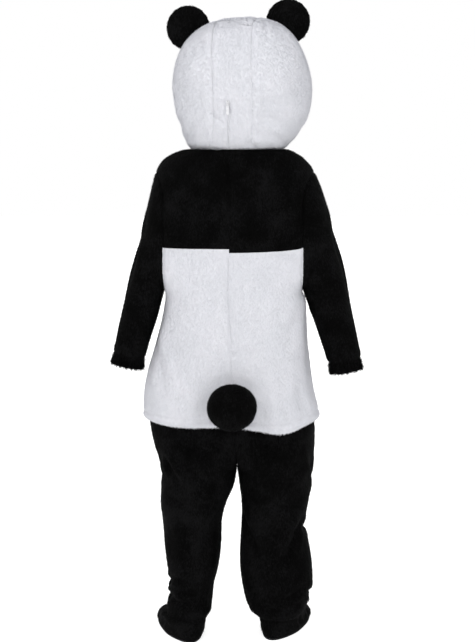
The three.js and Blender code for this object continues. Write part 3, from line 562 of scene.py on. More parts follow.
# %% Edges
SEAM_DEPTH, SEAM_WIDTH = 2.6, 4.2
SHOULDER_HEIGHT, SHOULDER_AT, SHOULDER_WIDTH = 0.8, 13, 8
CALM_BESIDE_SEAM = 25
HEM_DEPTH = 2.2
PUCKER_HEIGHT, PUCKER_REACH, PUCKER_SIZE = 0.8, 16.0, 11.0


def distance_to(points, edge_points):
    tree = KDTree(len(edge_points))
    for k, p in enumerate(edge_points):
        tree.insert(p, k)
    tree.balance()
    return np.array([tree.find(p)[2] for p in points.reshape(-1, 3)]).reshape(points.shape[:-1])


def seam_height(distance, points, depth):
    valley = -depth * np.exp(-((distance / SEAM_WIDTH) ** 2))
    shoulder = SHOULDER_HEIGHT * np.exp(-(((distance - SHOULDER_AT) / SHOULDER_WIDTH) ** 2))
    pucker = PUCKER_HEIGHT * np.exp(-distance / PUCKER_REACH) * swell(points, PUCKER_SIZE, 5)
    return valley + shoulder + pucker


def hem_height(distance, stitched_at, roll):
    turned = -HEM_DEPTH * np.exp(-((distance / 2.4) ** 2))
    fold = roll * np.exp(-(((distance - stitched_at / 2) / (stitched_at * 0.42)) ** 2))
    stitches = -HEM_DEPTH * np.exp(-(((distance - stitched_at) / 3) ** 2))
    return turned + fold + stitches


print("seams:", SEAM_DEPTH, "mm deep; hems:", HEM_DEPTH, "mm deep")


# %% [markdown]
# The pile is made of many small blades that lie down the cloth. Each one is a single long triangle. Geometry Nodes
# scatters them over a panel's outer face, leans them out of the cloth by a random angle and makes them real. They
# are a piece of their own beside each panel, because they aren't part of the sheet that was cut.

# %% Pile
PILE = {  # blades per square metre, length and width in mm, lift of the tip in degrees
    "plush": (290000, 5.2, 1.2, 17),
    "cuff": (420000, 7.5, 1.1, 42),
}


def pile_tree(name, material, kind):
    density, length, width, lift = PILE[kind]
    tree = bpy.data.node_groups.new(name, "GeometryNodeTree")
    tree.interface.new_socket("Geometry", in_out="INPUT", socket_type="NodeSocketGeometry")
    tree.interface.new_socket("Geometry", in_out="OUTPUT", socket_type="NodeSocketGeometry")
    cloth = add_node(tree, "NodeGroupInput").outputs[0]

    scatter = add_node(
        tree, "GeometryNodeDistributePointsOnFaces", {"Density": density, "Seed": 3}, {"Mesh": cloth}
    )
    chance = add_node(tree, "FunctionNodeRandomValue", {"data_type": "FLOAT", "Seed": 8})
    numbered = add_node(
        tree,
        "GeometryNodeStoreNamedAttribute",
        {"data_type": "FLOAT", "domain": "POINT", "Name": "tuft"},
        {"Geometry": scatter.outputs["Points"], "Value": chance.outputs[1]},
    )

    # Down the cloth, with a random lean.
    normal = scatter.outputs["Normal"]
    jitter = add_node(
        tree,
        "FunctionNodeRandomValue",
        {"data_type": "FLOAT_VECTOR", 0: (-0.45, -0.45, -0.25), 1: (0.45, 0.45, 0.25), "Seed": 4},
    )
    vector = "ShaderNodeVectorMath"
    down = add_node(tree, vector, {"operation": "ADD", 1: (0, 0, -1)}, {0: jitter.outputs[0]}).outputs[0]
    into = add_node(tree, vector, {"operation": "DOT_PRODUCT"}, {0: down, 1: normal}).outputs["Value"]
    inward = add_node(tree, vector, {"operation": "SCALE"}, {0: normal, "Scale": into}).outputs[0]
    flat = add_node(tree, vector, {"operation": "SUBTRACT"}, {0: down, 1: inward}).outputs[0]
    flat = add_node(tree, vector, {"operation": "NORMALIZE"}, {0: flat}).outputs[0]
    least, most = math.tan(math.radians(lift * 0.4)), math.tan(math.radians(lift * 1.6))
    lean = add_node(tree, "FunctionNodeRandomValue", {"data_type": "FLOAT", 2: least, 3: most, "Seed": 6})
    lifted = add_node(tree, vector, {"operation": "SCALE"}, {0: normal, "Scale": lean.outputs[1]}).outputs[0]
    tip = add_node(tree, vector, {"operation": "ADD"}, {0: flat, 1: lifted}).outputs[0]
    along = add_node(tree, "FunctionNodeAlignRotationToVector", {"axis": "X"}, {"Vector": tip})
    facing = add_node(
        tree,
        "FunctionNodeAlignRotationToVector",
        {"axis": "Z", "pivot_axis": "X"},
        {"Rotation": along.outputs[0], "Vector": normal},
    )

    # One blade: a triangle with its base at the root and its tip along X.
    triangle = add_node(
        tree, "GeometryNodeMeshCircle", {"fill_type": "NGON", "Vertices": 3, "Radius": 1.0}
    ).outputs[0]
    blade = add_node(
        tree,
        "GeometryNodeTransform",
        {"Translation": (length * MM / 3, 0, 0), "Scale": (length * MM / 1.5, width * MM / 1.732, 1)},
        {"Geometry": triangle},
    ).outputs[0]
    place = add_node(tree, "GeometryNodeInputPosition").outputs[0]
    rooted = add_node(
        tree,
        "GeometryNodeStoreNamedAttribute",
        {"data_type": "FLOAT_VECTOR", "domain": "POINT", "Name": "blade"},
        {"Geometry": blade, "Value": place},
    ).outputs[0]
    size = add_node(tree, "FunctionNodeRandomValue", {"data_type": "FLOAT", 2: 0.7, 3: 1.3, "Seed": 9}).outputs[1]
    planted = add_node(
        tree,
        "GeometryNodeInstanceOnPoints",
        {},
        {"Points": numbered.outputs[0], "Instance": rooted, "Rotation": facing.outputs[0], "Scale": size},
    )
    real = add_node(tree, "GeometryNodeRealizeInstances", {}, {0: planted.outputs[0]}).outputs[0]

    # Each blade lies on the map beside its root, a little spread out so that it has a size there.
    named = "GeometryNodeInputNamedAttribute"
    root = add_node(tree, named, {"data_type": "FLOAT_VECTOR", "Name": "OFBake"}).outputs[0]
    own = add_node(tree, named, {"data_type": "FLOAT_VECTOR", "Name": "blade"}).outputs[0]
    own = add_node(tree, vector, {"operation": "SCALE", "Scale": 2.0}, {0: own}).outputs[0]
    mapped = add_node(tree, vector, {"operation": "ADD"}, {0: root, 1: own}).outputs[0]
    charted = add_node(
        tree,
        "GeometryNodeStoreNamedAttribute",
        {"data_type": "FLOAT2", "domain": "CORNER", "Name": "OFBake"},
        {"Geometry": real, "Value": mapped},
    ).outputs[0]
    coloured = add_node(tree, "GeometryNodeSetMaterial", {"Material": material}, {"Geometry": charted}).outputs[0]
    add_node(tree, "NodeGroupOutput", {}, {0: coloured})
    return tree


BLACK_PILE = pile_tree("black_pile", BLACK_PLUSH, "plush")
WHITE_PILE = pile_tree("white_pile", WHITE_PLUSH, "plush")
CUFF_PILE = pile_tree("cuff_pile", BLACK_PLUSH, "cuff")
CLOTHS = {  # plush, its inside, its pile and its slot
    "cuff": (BLACK_PLUSH, BLACK_KNIT, CUFF_PILE, "plush_black"),
    "black": (BLACK_PLUSH, BLACK_KNIT, BLACK_PILE, "plush_black"),
    "white": (WHITE_PLUSH, WHITE_KNIT, WHITE_PILE, "plush_white"),
}
print("pile kinds:", list(PILE))

# %% [markdown]
# A panel starts as a bmesh grid whose vertices are moved onto its points. A closed tube's first and last columns are
# welded. Solidify gives the cloth its thickness, inwards, and the pile grows on the outer face.

# %% Sheets, walls and pile
CLOTH = 2.6  # mm, and the pile comes on top of it
made, piles = {}, {}


def grid_mesh(points, closed):
    """A bmesh grid with its vertices on these points, and a table of them by row and column."""
    rows, columns = points.shape[:2]
    bm = bmesh.new()
    bm.loops.layers.uv.new("OFBake")
    bmesh.ops.create_grid(bm, x_segments=columns - 1, y_segments=rows - 1, size=1, calc_uvs=True)
    table = [[None] * columns for _ in range(rows)]
    for vert in bm.verts:
        column = round((vert.co.x + 1) / 2 * (columns - 1))
        row = round((vert.co.y + 1) / 2 * (rows - 1))
        vert.co = points[row, column] * MM
        table[row][column] = vert
    if closed:
        bmesh.ops.remove_doubles(bm, verts=bm.verts, dist=2e-5)
    return bm, table


def surface_normals(points, closed):
    if closed:
        round_it = np.concatenate([points[:, -2:-1], points, points[:, 1:2]], axis=1)
        across = (round_it[:, 2:] - round_it[:, :-2]) / 2
    else:
        across = np.gradient(points, axis=1)
    return unit(np.cross(across, np.gradient(points, axis=0)))


def object_from(bm, name, smooth=True):
    mesh = bpy.data.meshes.new(name)
    bm.to_mesh(mesh)
    bm.free()
    for polygon in mesh.polygons:
        polygon.use_smooth = smooth
    piece = bpy.data.objects.new(name, mesh)
    bpy.context.collection.objects.link(piece)
    return piece


def add_pile(piece, cloth):
    """The pile shares the piece's mesh and grows on it."""
    _, _, blades, slot_name = CLOTHS[cloth]
    pile = bpy.data.objects.new(piece.name + "_pile", piece.data)
    bpy.context.collection.objects.link(pile)
    pile.modifiers.new("pile", "NODES").node_group = blades
    piles[piece.name] = pile


def finish_cloth(piece, cloth):
    outside, inside, _, slot_name = CLOTHS[cloth]
    piece.data.materials.append(outside)
    piece.data.materials.append(inside)
    wall = piece.modifiers.new("thickness", "SOLIDIFY")
    wall.thickness = CLOTH * MM
    wall.offset = -1
    wall.material_offset = 1
    wall.use_even_offset = False
    add_pile(piece, cloth)


print("cloth:", CLOTH, "mm thick")

# %% [markdown]
# One function makes every panel. It takes the panel's form and moves its points out or in by the swelling, the seams
# and hems, and the creases. What differs from panel to panel is given in the call.

# %% Make a panel
def panel(
    name,
    form,  # the map from shares to points
    cloth,
    sewn="udlr",  # the edges that are seams: up, down, left and right in the grid
    hems=None,  # for an open edge, where its hem is stitched and how high it rolls
    closed=False,  # a tube
    creases=(),
    whole=None,  # the survey on which they are laid
    bold=1.0,  # how much deeper they are than in their table
    uneven=(2.0, 95.0),  # height and size of the swelling
    edge_normals=None,
    outward=1,
    seams=(),  # lines inside the panel that are sewn too
    seam=SEAM_DEPTH,
    shape=None,
    cut=None,
    grid=None,
    step=CLOTH_STEP,
):
    us, vs = grid if grid is not None else lay_grid(form, closed, step)
    points = form(us, vs)
    normals = surface_normals(points, closed) * outward
    if edge_normals:
        normals = edge_normals(us, vs, normals)
    height = uneven[0] * swell(points, uneven[1], 11)
    edges = {"d": points[0], "u": points[-1], "l": points[:, 0], "r": points[:, -1]}
    sewn_edges = [edges[e] for e in sewn] + [np.asarray(line(us, vs)) for line in seams]
    distance = distance_to(points, np.concatenate(sewn_edges))
    height *= np.clip(distance / CALM_BESIDE_SEAM, 0, 1)
    height += seam_height(distance, points, seam)
    for edge, (stitched_at, roll) in (hems or {}).items():
        distance = distance_to(points, edges[edge])
        height += hem_height(distance, stitched_at, roll)
    if creases:
        height += bold * crease_height(points, creases, whole)
    points = points + normals * height[..., None]
    if shape:
        points = shape(us, vs, points, normals)
    bm, table = grid_mesh(points, closed)
    if cut:
        cut(bm, table, points)
    if outward < 0:
        bmesh.ops.reverse_faces(bm, faces=bm.faces)
    piece = object_from(bm, name + "_cloth")
    finish_cloth(piece, cloth)
    made[name] = piece
    print(f"{name}: {points.shape[1] - 1} x {points.shape[0] - 1} faces")


# %% [markdown]
# The body is cut in six panels: two black and two white at the back, which meet at the zip, and one black and one
# white at the front, cut on the fold. Near an armhole only the columns beside it move over, so that the grid stays
# even elsewhere.

# %% Body panels
YOKE_SIDE, YOKE_BACK_LEFT, YOKE_BACK_RIGHT, YOKE_FRONT = -208.5, -210, -218, -214
HEM_Z, NECK_Z = BODY[0][0], BODY[-1][0]


def side_angle(side, quarter, z):
    turn = np.degrees(np.arccos(np.clip((z - hole_middle) / hole_half, -1, 1)))
    angle, _ = rim_angle(side, turn if quarter == "back" else 360 - turn)
    seam = 0.0 if side == "left" else 180.0
    return np.where((z < HOLE_BOTTOM) | (z > HOLE_TOP), seam, angle)


def eased(edge, seam, middle, inwards):
    """The angle at a share of the way inwards, where only the columns near the edge follow the armhole."""
    reach = np.maximum(np.abs(edge - seam), 1e-3)
    power = np.clip(0.9 * np.abs(middle - seam) / reach, 1, 4)
    return lerp(seam, middle, inwards) + (edge - seam) * (1 - inwards) ** power


def back_form(side, half):
    low, high = (HEM_Z, YOKE_SIDE) if half == "lower" else (YOKE_SIDE, NECK_Z)
    middle_seam = YOKE_BACK_LEFT if side == "left" else YOKE_BACK_RIGHT
    seam = 0.0 if side == "left" else 180.0

    def form(us, vs):
        inwards = (us if side == "left" else 1 - us)[None, :]
        share = (vs if half == "lower" else 1 - vs)[:, None]
        edge_z = lerp(low, high, vs)
        row = body_row(edge_z[:, None] + (middle_seam - YOKE_SIDE) * inwards * share)
        edge = side_angle(side, "back", edge_z)[:, None]
        return body.point(eased(edge, seam, zip_angle(row), inwards), row)

    return form


def front_form(half):
    low, high = (HEM_Z, YOKE_SIDE) if half == "lower" else (YOKE_SIDE, NECK_Z)

    def form(us, vs):
        inwards = (1 - np.abs(2 * us - 1))[None, :]
        share = (vs if half == "lower" else 1 - vs)[:, None]
        edge_z = lerp(low, high, vs)
        row = body_row(edge_z[:, None] + (YOKE_FRONT - YOKE_SIDE) * inwards * share)
        right = side_angle("right", "front", edge_z)[:, None]
        left = 360 + side_angle("left", "front", edge_z)[:, None]
        right_half = eased(right, 180.0, FRONT, inwards)
        left_half = eased(left, 360.0, FRONT, inwards)
        return body.point(np.where(us[None, :] < 0.5, right_half, left_half), row)

    return form


NEAR_EDGE = (1.0, 0.7, 0.35, 0.12)  # how much the first few lines share the seam's own direction


def share_direction(normals, edge, directions, valid=None):
    """Lets the lines near an edge lean to the direction that both sides of the seam share."""
    views = {"l": lambda k: (slice(None), k), "r": lambda k: (slice(None), -1 - k),
             "d": lambda k: (k, slice(None)), "u": lambda k: (-1 - k, slice(None))}
    for k, weight in enumerate(NEAR_EDGE):
        place = views[edge](k)
        mixed = unit(lerp(normals[place], directions, weight))
        normals[place] = mixed if valid is None else np.where(valid[:, None], mixed, normals[place])
    return normals


def hole_directions(side, quarter, z):
    turn = np.degrees(np.arccos(np.clip((z - hole_middle) / hole_half, -1, 1)))
    return rim_out(side, turn if quarter == "back" else 360 - turn), (z > HOLE_BOTTOM) & (z < HOLE_TOP)


print("seam between black and white at the zip:", YOKE_BACK_LEFT, "left,", YOKE_BACK_RIGHT, "mm right")

# %% [markdown]
# Slack cloth falls from the shoulders towards the armholes. On the white part long folds run down, with short ones
# above the hem. The front has calmer ones of the same kinds.

# %% The body's creases
BACK_CREASES = [  # view, points (x, z) or from a side (y, z), width, depth
    ("back", [(-141, -52), (-118, -120), (-89, -192)], 20, 2.6),
    ("back", [(-60, -40), (-66, -110), (-58, -170)], 16, -1.4),
    ("back", [(118, -60), (104, -130), (112, -190)], 18, 1.8),
    ("back", [(52, -30), (60, -90), (50, -150)], 15, -1.2),
    ("back", [(134, -150), (96, -186), (60, -200)], 11, -1.6),
    ("back", [(160, -392), (150, -460), (138, -526)], 13, -4.2),
    ("back", [(118, -330), (124, -410), (112, -486)], 17, -1.8),
    ("back", [(92, -430), (96, -500), (84, -556)], 14, 1.8),
    ("back", [(60, -250), (66, -330), (60, -400)], 20, 1.2),
    ("back", [(-70, -262), (-78, -350), (-70, -430)], 20, 1.5),
    ("back", [(-137, -496), (-148, -535), (-152, -572)], 11, -3.6),
    ("back", [(-146, -330), (-128, -372), (-118, -430)], 12, -2.2),
    ("back", [(-108, -452), (-102, -510), (-112, -574)], 13, -2.2),
    ("back", [(-66, -500), (-72, -545), (-60, -592)], 10, -3.0),
    ("back", [(62, -508), (70, -548), (60, -580)], 10, -2.2),
    ("back", [(130, -316), (96, -338), (66, -345)], 9, -1.8),
    ("left", [(40, -330), (20, -400), (44, -480)], 15, -3.0),
    ("left", [(-40, -350), (-28, -430), (-50, -520)], 14, -2.6),
    ("right", [(44, -340), (24, -420), (46, -500)], 14, -2.8),
    ("right", [(-36, -330), (-20, -400), (-42, -490)], 15, -2.6),
    ("left", [(62, -548), (58, -566), (66, -580)], 9, -2.4),
    ("right", [(-54, -540), (-60, -560), (-54, -578)], 10, -2.4),
]
FRONT_CREASES = [
    ("front", [(124, -60), (96, -118), (88, -180)], 17, 2.2),
    ("front", [(-128, -66), (-104, -124), (-98, -184)], 17, 2.0),
    ("front", [(46, -30), (30, -60), (-12, -74), (-48, -52)], 11, -1.8),
    ("front", [(120, -176), (84, -196), (48, -202)], 10, -1.6),
    ("front", [(-132, -170), (-92, -192), (-58, -200)], 10, -1.8),
    ("front", [(132, -312), (92, -344), (44, -352)], 12, -2.6),
    ("front", [(-138, -318), (-96, -352), (-40, -366)], 12, -2.8),
    ("front", [(138, -402), (122, -470), (130, -548)], 14, -3.2),
    ("front", [(-134, -396), (-120, -468), (-126, -552)], 14, -3.0),
    ("front", [(60, -420), (66, -490), (56, -566)], 15, -2.0),
    ("front", [(-58, -410), (-50, -488), (-62, -570)], 15, -2.2),
    ("front", [(6, -260), (0, -340), (8, -420)], 24, 1.8),
    ("front", [(2, -470), (-6, -530), (4, -582)], 13, -2.0),
]
print("creases behind and at the sides:", len(BACK_CREASES), "in front:", len(FRONT_CREASES))

# %% [markdown]
# Now the body is cut and sewn. The white panels dip round the tail's place. Where an edge is shared with a sleeve,
# the cloth on both sides leans the same way, so the seam closes.

# %% Sew the body
TAIL_X, TAIL_Z, TAIL_ROUND, TAIL_DIP = 0, -533, 50, 2.2


def tail_hollow(us, vs, points, normals):
    """The cloth dips round the tail, where its stitching pulls it in."""
    gap = np.linalg.norm(points[..., [0, 2]] - np.array([TAIL_X, TAIL_Z]), axis=-1)
    behind = points[..., 1] > 0
    dip = -TAIL_DIP * np.exp(-(((gap - TAIL_ROUND) / 13) ** 2)) * behind
    return points + normals * dip[..., None]


def body_edges(side_of, quarter, neck):
    """Shares the seams' directions along the armholes, over the heights of an upper or a lower panel."""

    def adjust(us, vs, normals):
        low, high = (YOKE_SIDE, NECK_Z) if neck else (HEM_Z, YOKE_SIDE)
        z = lerp(low, high, vs)
        for edge, side in side_of.items():
            directions, valid = hole_directions(side, quarter, z)
            share_direction(normals, edge, directions, valid)
        return normals

    return adjust


BOLD = 1.9  # black cloth shows its creases less, so they are laid deeper
UPPER = {"cloth": "black", "bold": BOLD, "uneven": (1.6, 90.0)}
LOWER = {"cloth": "white", "sewn": "ulr", "hems": {"d": (19, 3.6)}, "uneven": (2.6, 100.0)}
on_body = {"creases": BACK_CREASES + FRONT_CREASES, "whole": survey(body)}
for side, outer_edge in (("left", "l"), ("right", "r")):
    edge = {outer_edge: side}
    panel(f"back_upper_{side}", back_form(side, "upper"), edge_normals=body_edges(edge, "back", True),
          **UPPER, **on_body)
    panel(f"back_lower_{side}", back_form(side, "lower"), edge_normals=body_edges(edge, "back", False),
          shape=tail_hollow, seam=1.1, **LOWER, **on_body)
both = {"l": "right", "r": "left"}
panel("front_upper", front_form("upper"), edge_normals=body_edges(both, "front", True), **UPPER, **on_body)
panel("front_lower", front_form("lower"), edge_normals=body_edges(both, "front", False), seam=1.8,
      **LOWER, **on_body)

# %% [markdown]
# The hood is three panels: a strip over the crown and two sides, which meet under the chin. It tips a little to the
# left and turns with the head. The slit for the zip is cut up the middle of the strip, from the neck to 88 mm.

# %% Hood form
HOOD = [  # inY, inZ, outY, outZ, half, turn
    (-88, 10, 107, 16, 109, 0.3),
    (-99, 24, 131, 62, 127, 0.75),
    (-107, 38, 143, 122, 139, 1),
    (-113, 48, 136, 186, 144, 1),
    (-118, 55, 104, 236, 142, 1),
    (-121, 60, 52, 264, 135, 1),
    (-123, 63, -10, 272, 125, 1),
    (-124, 66, -76, 260, 108, 1),
    (-120, 70, -116, 232, 84, 1),
]
HEAD_X, HEAD_ROLL, HEAD_YAW = -30, 3.4, -9
GUSSET_HALF, ZIP_TOP, TAPE_TOP = 41, 88, 93
LEAVES_ZIP_AT, LEAVES_WITHIN = 110, 1.5  # mm and rows: where the strip's middle eases off the zip's line


def turned(points, share):
    yaw, roll = math.radians(HEAD_YAW), math.radians(HEAD_ROLL * share)
    x = points[..., 0] * math.cos(yaw) - points[..., 1] * math.sin(yaw)
    y = points[..., 0] * math.sin(yaw) + points[..., 1] * math.cos(yaw)
    z = points[..., 2]
    tipped = x * math.cos(roll) + z * math.sin(roll)
    z = -x * math.sin(roll) + z * math.cos(roll)
    return np.stack([tipped + lerp(-10, HEAD_X, share), y, z], -1)


def hood_ring(in_y, in_z, out_y, out_z, half, share):
    edge = np.array([0, out_y - in_y, out_z - in_z], float)
    reach = np.linalg.norm(edge) / 2
    middle = (0, (in_y + out_y) / 2, (in_z + out_z) / 2)
    flat = ring(middle, (1, 0, 0), edge / (2 * reach), half, reach, reach, 2.35)
    return lambda degrees: turned(flat(degrees), share)


neck_zip = float(zip_angle(body.last))
neck_shift = neck_zip - BACK
hood = Tube([lambda degrees: body.point(degrees + neck_shift, body.last)] + [hood_ring(*row) for row in HOOD], 1)
hood_rows = np.linspace(0, hood.last, 300)
hood_heights = hood.point(BACK, hood_rows)[:, 2]
rising = hood_rows <= 4


def hood_row(z):
    return float(np.interp(z, hood_heights[rising], hood_rows[rising]))


FIRST_ROW = 2 / 3  # up to here the seams lean over to the neck's own marks


def gusset_table(far, neck_mark):
    middle = hood.point(BACK, hood_rows)

    def apart(angle):
        return np.linalg.norm(hood.point(angle, hood_rows) - middle, axis=-1) - GUSSET_HALF

    edge = solve(apart, np.full(hood_rows.shape, BACK), np.full(hood_rows.shape, float(far)))
    at_first = np.interp(FIRST_ROW, hood_rows, edge)
    share = np.clip(hood_rows / FIRST_ROW, 0, 1)
    return np.where(hood_rows < FIRST_ROW, lerp(neck_mark, at_first, share), edge)


left_marks = gusset_table(20, neck_zip * 4 / 6 - neck_shift)
right_marks = gusset_table(160, lerp(neck_zip, 180, 2 / 6) - neck_shift)
hood_zip = zip_angle_at(hood, hood_rows, 70.0, 110.0)
above = np.clip((hood_rows - hood_row(LEAVES_ZIP_AT)) / LEAVES_WITHIN, 0, 1)
above = above * above * (3 - 2 * above)
middle_marks = lerp(hood_zip, (left_marks + right_marks) / 2, above)
front_marks = lerp(-90 - neck_shift, -90, np.clip(hood_rows / FIRST_ROW, 0, 1))


def hood_form(marks):
    """A panel between lines of marks, each of which gives an angle for every row."""

    def form(us, vs):
        row = vs * hood.last
        lines = np.stack([np.interp(row, hood_rows, m) for m in marks])
        place = us * (len(marks) - 1)
        k = np.clip(np.floor(place).astype(int), 0, len(marks) - 2)
        angle = lerp(lines[k], lines[k + 1], (place - k)[:, None]).T
        return hood.point(angle, row[:, None])

    return form


def neck_directions(points):
    """The way out of the neck seam, between up and sideways."""
    away = points - np.array([-10.0, 8.0, 0.0])
    away[..., 2] = 0
    return unit(unit(away) + np.array([0, 0, 0.45]))


print("hood: slit up to row", round(hood_row(ZIP_TOP), 2), "of", hood.last)

# %% [markdown]
# The hood's creases start where the cloth is held: along the neck seam, at the ears and beside the zip. Its edge
# round the face is a turned hem.

# %% Hood panels
HOOD_CREASES = [  # view, points, width, depth
    ("back", [(-63, 257), (-68, 240), (-74, 216)], 7, -2.4),
    ("back", [(-52, 240), (-58, 222), (-70, 205)], 6, -1.6),
    ("back", [(-78, 246), (-102, 224), (-126, 198)], 8, -1.8),
    ("back", [(-14, 258), (-28, 252), (-44, 254)], 6, -2.0),
    ("back", [(74, 188), (64, 196), (54, 208)], 6, -1.8),
    ("back", [(88, 178), (80, 196), (76, 216)], 6, -1.8),
    ("back", [(92, 140), (78, 160), (72, 184)], 12, 1.6),
    ("back", [(46, 75), (36, 62), (19, 47)], 5, -3.0),
    ("back", [(47, 110), (46, 90), (44, 74)], 5, -1.6),
    ("back", [(-42, 64), (-76, 56), (-112, 44)], 9, -2.6),
    ("back", [(-58, 96), (-94, 90), (-128, 70)], 12, -2.0),
    ("back", [(-76, 28), (-96, 18), (-114, 8)], 7, -3.0),
    ("back", [(-30, 46), (-50, 30), (-70, 16)], 9, -2.0),
    ("back", [(70, 52), (82, 34), (90, 14)], 9, -2.4),
    ("back", [(52, 40), (58, 24), (62, 10)], 8, -2.0),
    ("back", [(-20, 190), (-34, 150), (-30, 100)], 20, -1.2),
    ("back", [(-90, 170), (-104, 130), (-98, 90)], 22, 1.6),
    ("left", [(60, 60), (20, 46), (-20, 52)], 11, -2.4),
    ("left", [(84, 120), (52, 104), (20, 108)], 14, -1.8),
    ("left", [(-60, 190), (-70, 150), (-64, 110)], 13, -1.8),
    ("left", [(-84, 210), (-92, 160), (-88, 110)], 9, 1.4),
    ("right", [(60, 56), (20, 40), (-24, 46)], 11, -2.6),
    ("right", [(90, 124), (50, 110), (16, 116)], 14, -1.8),
    ("right", [(-56, 196), (-68, 150), (-60, 104)], 13, -1.8),
    ("right", [(-86, 206), (-90, 156), (-84, 108)], 9, 1.4),
    ("front", [(-30, 40), (-52, 30), (-70, 12)], 8, -2.0),
    ("front", [(10, 36), (34, 26), (52, 8)], 8, -2.0),
]
on_hood = {"creases": HOOD_CREASES, "whole": survey(hood)}
HOOD_CLOTH = {"cloth": "white", "sewn": "dlr", "hems": {"u": (13, 2.0)}, "uneven": (2.2, 80.0), "seam": 1.1}


def hood_panel(name, form, **more):
    def neck_shared(us, vs, normals):
        return share_direction(normals, "d", neck_directions(form(us, vs)[0]))

    panel(name, form, edge_normals=neck_shared, **HOOD_CLOTH, **on_hood, **more)


hood_panel("hood_side_left", hood_form([front_marks, left_marks]))
hood_panel("hood_side_right", hood_form([right_marks, front_marks + 360]))

# %% [markdown]
# The strip over the crown has the slit. Its grid keeps one column on the zip's line. The edges of that column are
# split up to the slit's top, and both sides move apart by less than a millimetre.

# %% Crown strip with its slit
SLIT_HALF = 0.75
gusset_form = hood_form([left_marks, middle_marks, right_marks])
strip_grid = lay_grid(gusset_form, fixed_half=True)
slit_share = hood_row(ZIP_TOP) / hood.last
slit_top = int(np.abs(strip_grid[1] - slit_share).argmin())
strip_grid[1][slit_top] = slit_share


def slit_line(us, vs):
    return gusset_form(np.array([0.5]), vs[vs <= slit_share + 1e-9])[:, 0]


def cut_slit(bm, table, points):
    """Splits the middle column's edges up to the slit's top, then moves its two sides apart."""
    middle = points.shape[1] // 2
    spots = {}
    for r in range(slit_top):
        aside = Vector(points[r, middle + 1] - points[r, middle - 1]).normalized()
        spots[tuple(table[r][middle].co)] = aside * SLIT_HALF * MM
    line = [bm.edges.get((table[r][middle], table[r + 1][middle])) for r in range(slit_top)]
    bmesh.ops.split_edges(bm, edges=line)
    moves = {}
    for face in bm.faces:
        centre = face.calc_center_median()
        for vert in face.verts:
            aside = spots.get(tuple(vert.co))
            if aside:
                moves[vert] = aside * (1 if (centre - vert.co).dot(aside) > 0 else -1)
    for vert, move in moves.items():
        vert.co += move


hood_panel("hood_gusset", gusset_form, seams=[slit_line], grid=strip_grid, cut=cut_slit)

# %% [markdown]
# A sleeve is a tube from the armhole's rim to the wrist, with its seam under the arm. At the elbow the cloth folds
# on the inner side. The cuff is gathered on an elastic and stands out below it in uneven ruffles.

# %% Sleeve form
SLEEVE = {  # inX, inZ, outX, outZ, deep
    "left": [
        (147, -305, 169, -80, 76),
        (149, -309, 184, -155, 68),
        (152, -317, 203, -222, 60),
        (158, -340, 222, -283, 54),
        (166, -372, 236, -338, 49),
        (178, -412, 248, -392, 45),
        (188, -450, 256, -436, 42),
    ],
    "right": [
        (-154, -305, -187, -80, 76),
        (-156, -311, -210, -150, 68),
        (-160, -321, -230, -226, 60),
        (-169, -345, -247, -296, 54),
        (-181, -378, -260, -352, 49),
        (-195, -420, -271, -404, 45),
        (-208, -460, -278, -448, 42),
    ],
}
CUFF = [(0, 0), (7, -3), (24, -1)]  # down, grow


def sleeve_ring(row, down=0, grow=0):
    in_x, in_z, out_x, out_z, deep = row
    edge = np.array([out_x - in_x, 0, out_z - in_z], float)
    half = np.linalg.norm(edge) / 2
    edge = edge / (2 * half)
    along = np.array([edge[2], 0, -edge[0]]) * np.sign(in_x)
    middle = np.array([(in_x + out_x) / 2, 0, (in_z + out_z) / 2]) + along * down
    return ring(middle, edge, (0, 1, 0), half + grow, deep + grow, deep + grow)


print("sleeve rings:", {side: len(rows) for side, rows in SLEEVE.items()})

# %% [markdown]
# A bent arm leaves short creases on the sleeve's inner side, and the elastic leaves some above the cuff.

# %% The sleeves' creases
SLEEVE_CREASES = {  # view, points, width, depth
    "left": [
        ("back", [(158, -322), (182, -312), (206, -318)], 8, -2.8),
        ("back", [(166, -350), (190, -336), (214, -338)], 8, -2.4),
        ("back", [(154, -292), (176, -276), (192, -278)], 8, -1.8),
        ("back", [(196, -120), (190, -190), (200, -252)], 12, 1.6),
        ("back", [(180, -400), (206, -408), (236, -398)], 8, -1.8),
        ("back", [(206, -440), (210, -424), (208, -404)], 5, -1.8),
        ("back", [(232, -436), (232, -420), (234, -400)], 5, -1.6),
        ("front", [(160, -326), (184, -318), (210, -322)], 8, -2.8),
        ("front", [(168, -356), (192, -344), (216, -346)], 8, -2.4),
        ("front", [(182, -404), (206, -412), (238, -402)], 8, -1.8),
        ("front", [(212, -440), (214, -424), (212, -404)], 5, -1.8),
        ("left", [(40, -150), (20, -230), (26, -310)], 12, -1.6),
        ("left", [(-34, -170), (-20, -250), (-24, -330)], 12, -1.6),
    ],
    "right": [
        ("back", [(-166, -330), (-190, -318), (-216, -322)], 8, -2.8),
        ("back", [(-176, -358), (-202, -344), (-228, -348)], 8, -2.4),
        ("back", [(-160, -300), (-184, -284), (-202, -286)], 8, -1.8),
        ("back", [(-204, -120), (-206, -190), (-220, -256)], 12, 1.6),
        ("back", [(-196, -412), (-224, -418), (-254, -408)], 8, -1.8),
        ("back", [(-226, -450), (-230, -434), (-228, -414)], 5, -1.8),
        ("back", [(-254, -446), (-254, -430), (-252, -410)], 5, -1.6),
        ("front", [(-168, -334), (-192, -324), (-220, -328)], 8, -2.8),
        ("front", [(-178, -364), (-206, -352), (-230, -354)], 8, -2.4),
        ("front", [(-198, -416), (-226, -422), (-256, -412)], 8, -1.8),
        ("right", [(38, -160), (20, -240), (26, -320)], 12, -1.6),
        ("right", [(-32, -180), (-18, -260), (-24, -340)], 12, -1.6),
    ],
}
print("sleeve creases:", {side: len(rows) for side, rows in SLEEVE_CREASES.items()})

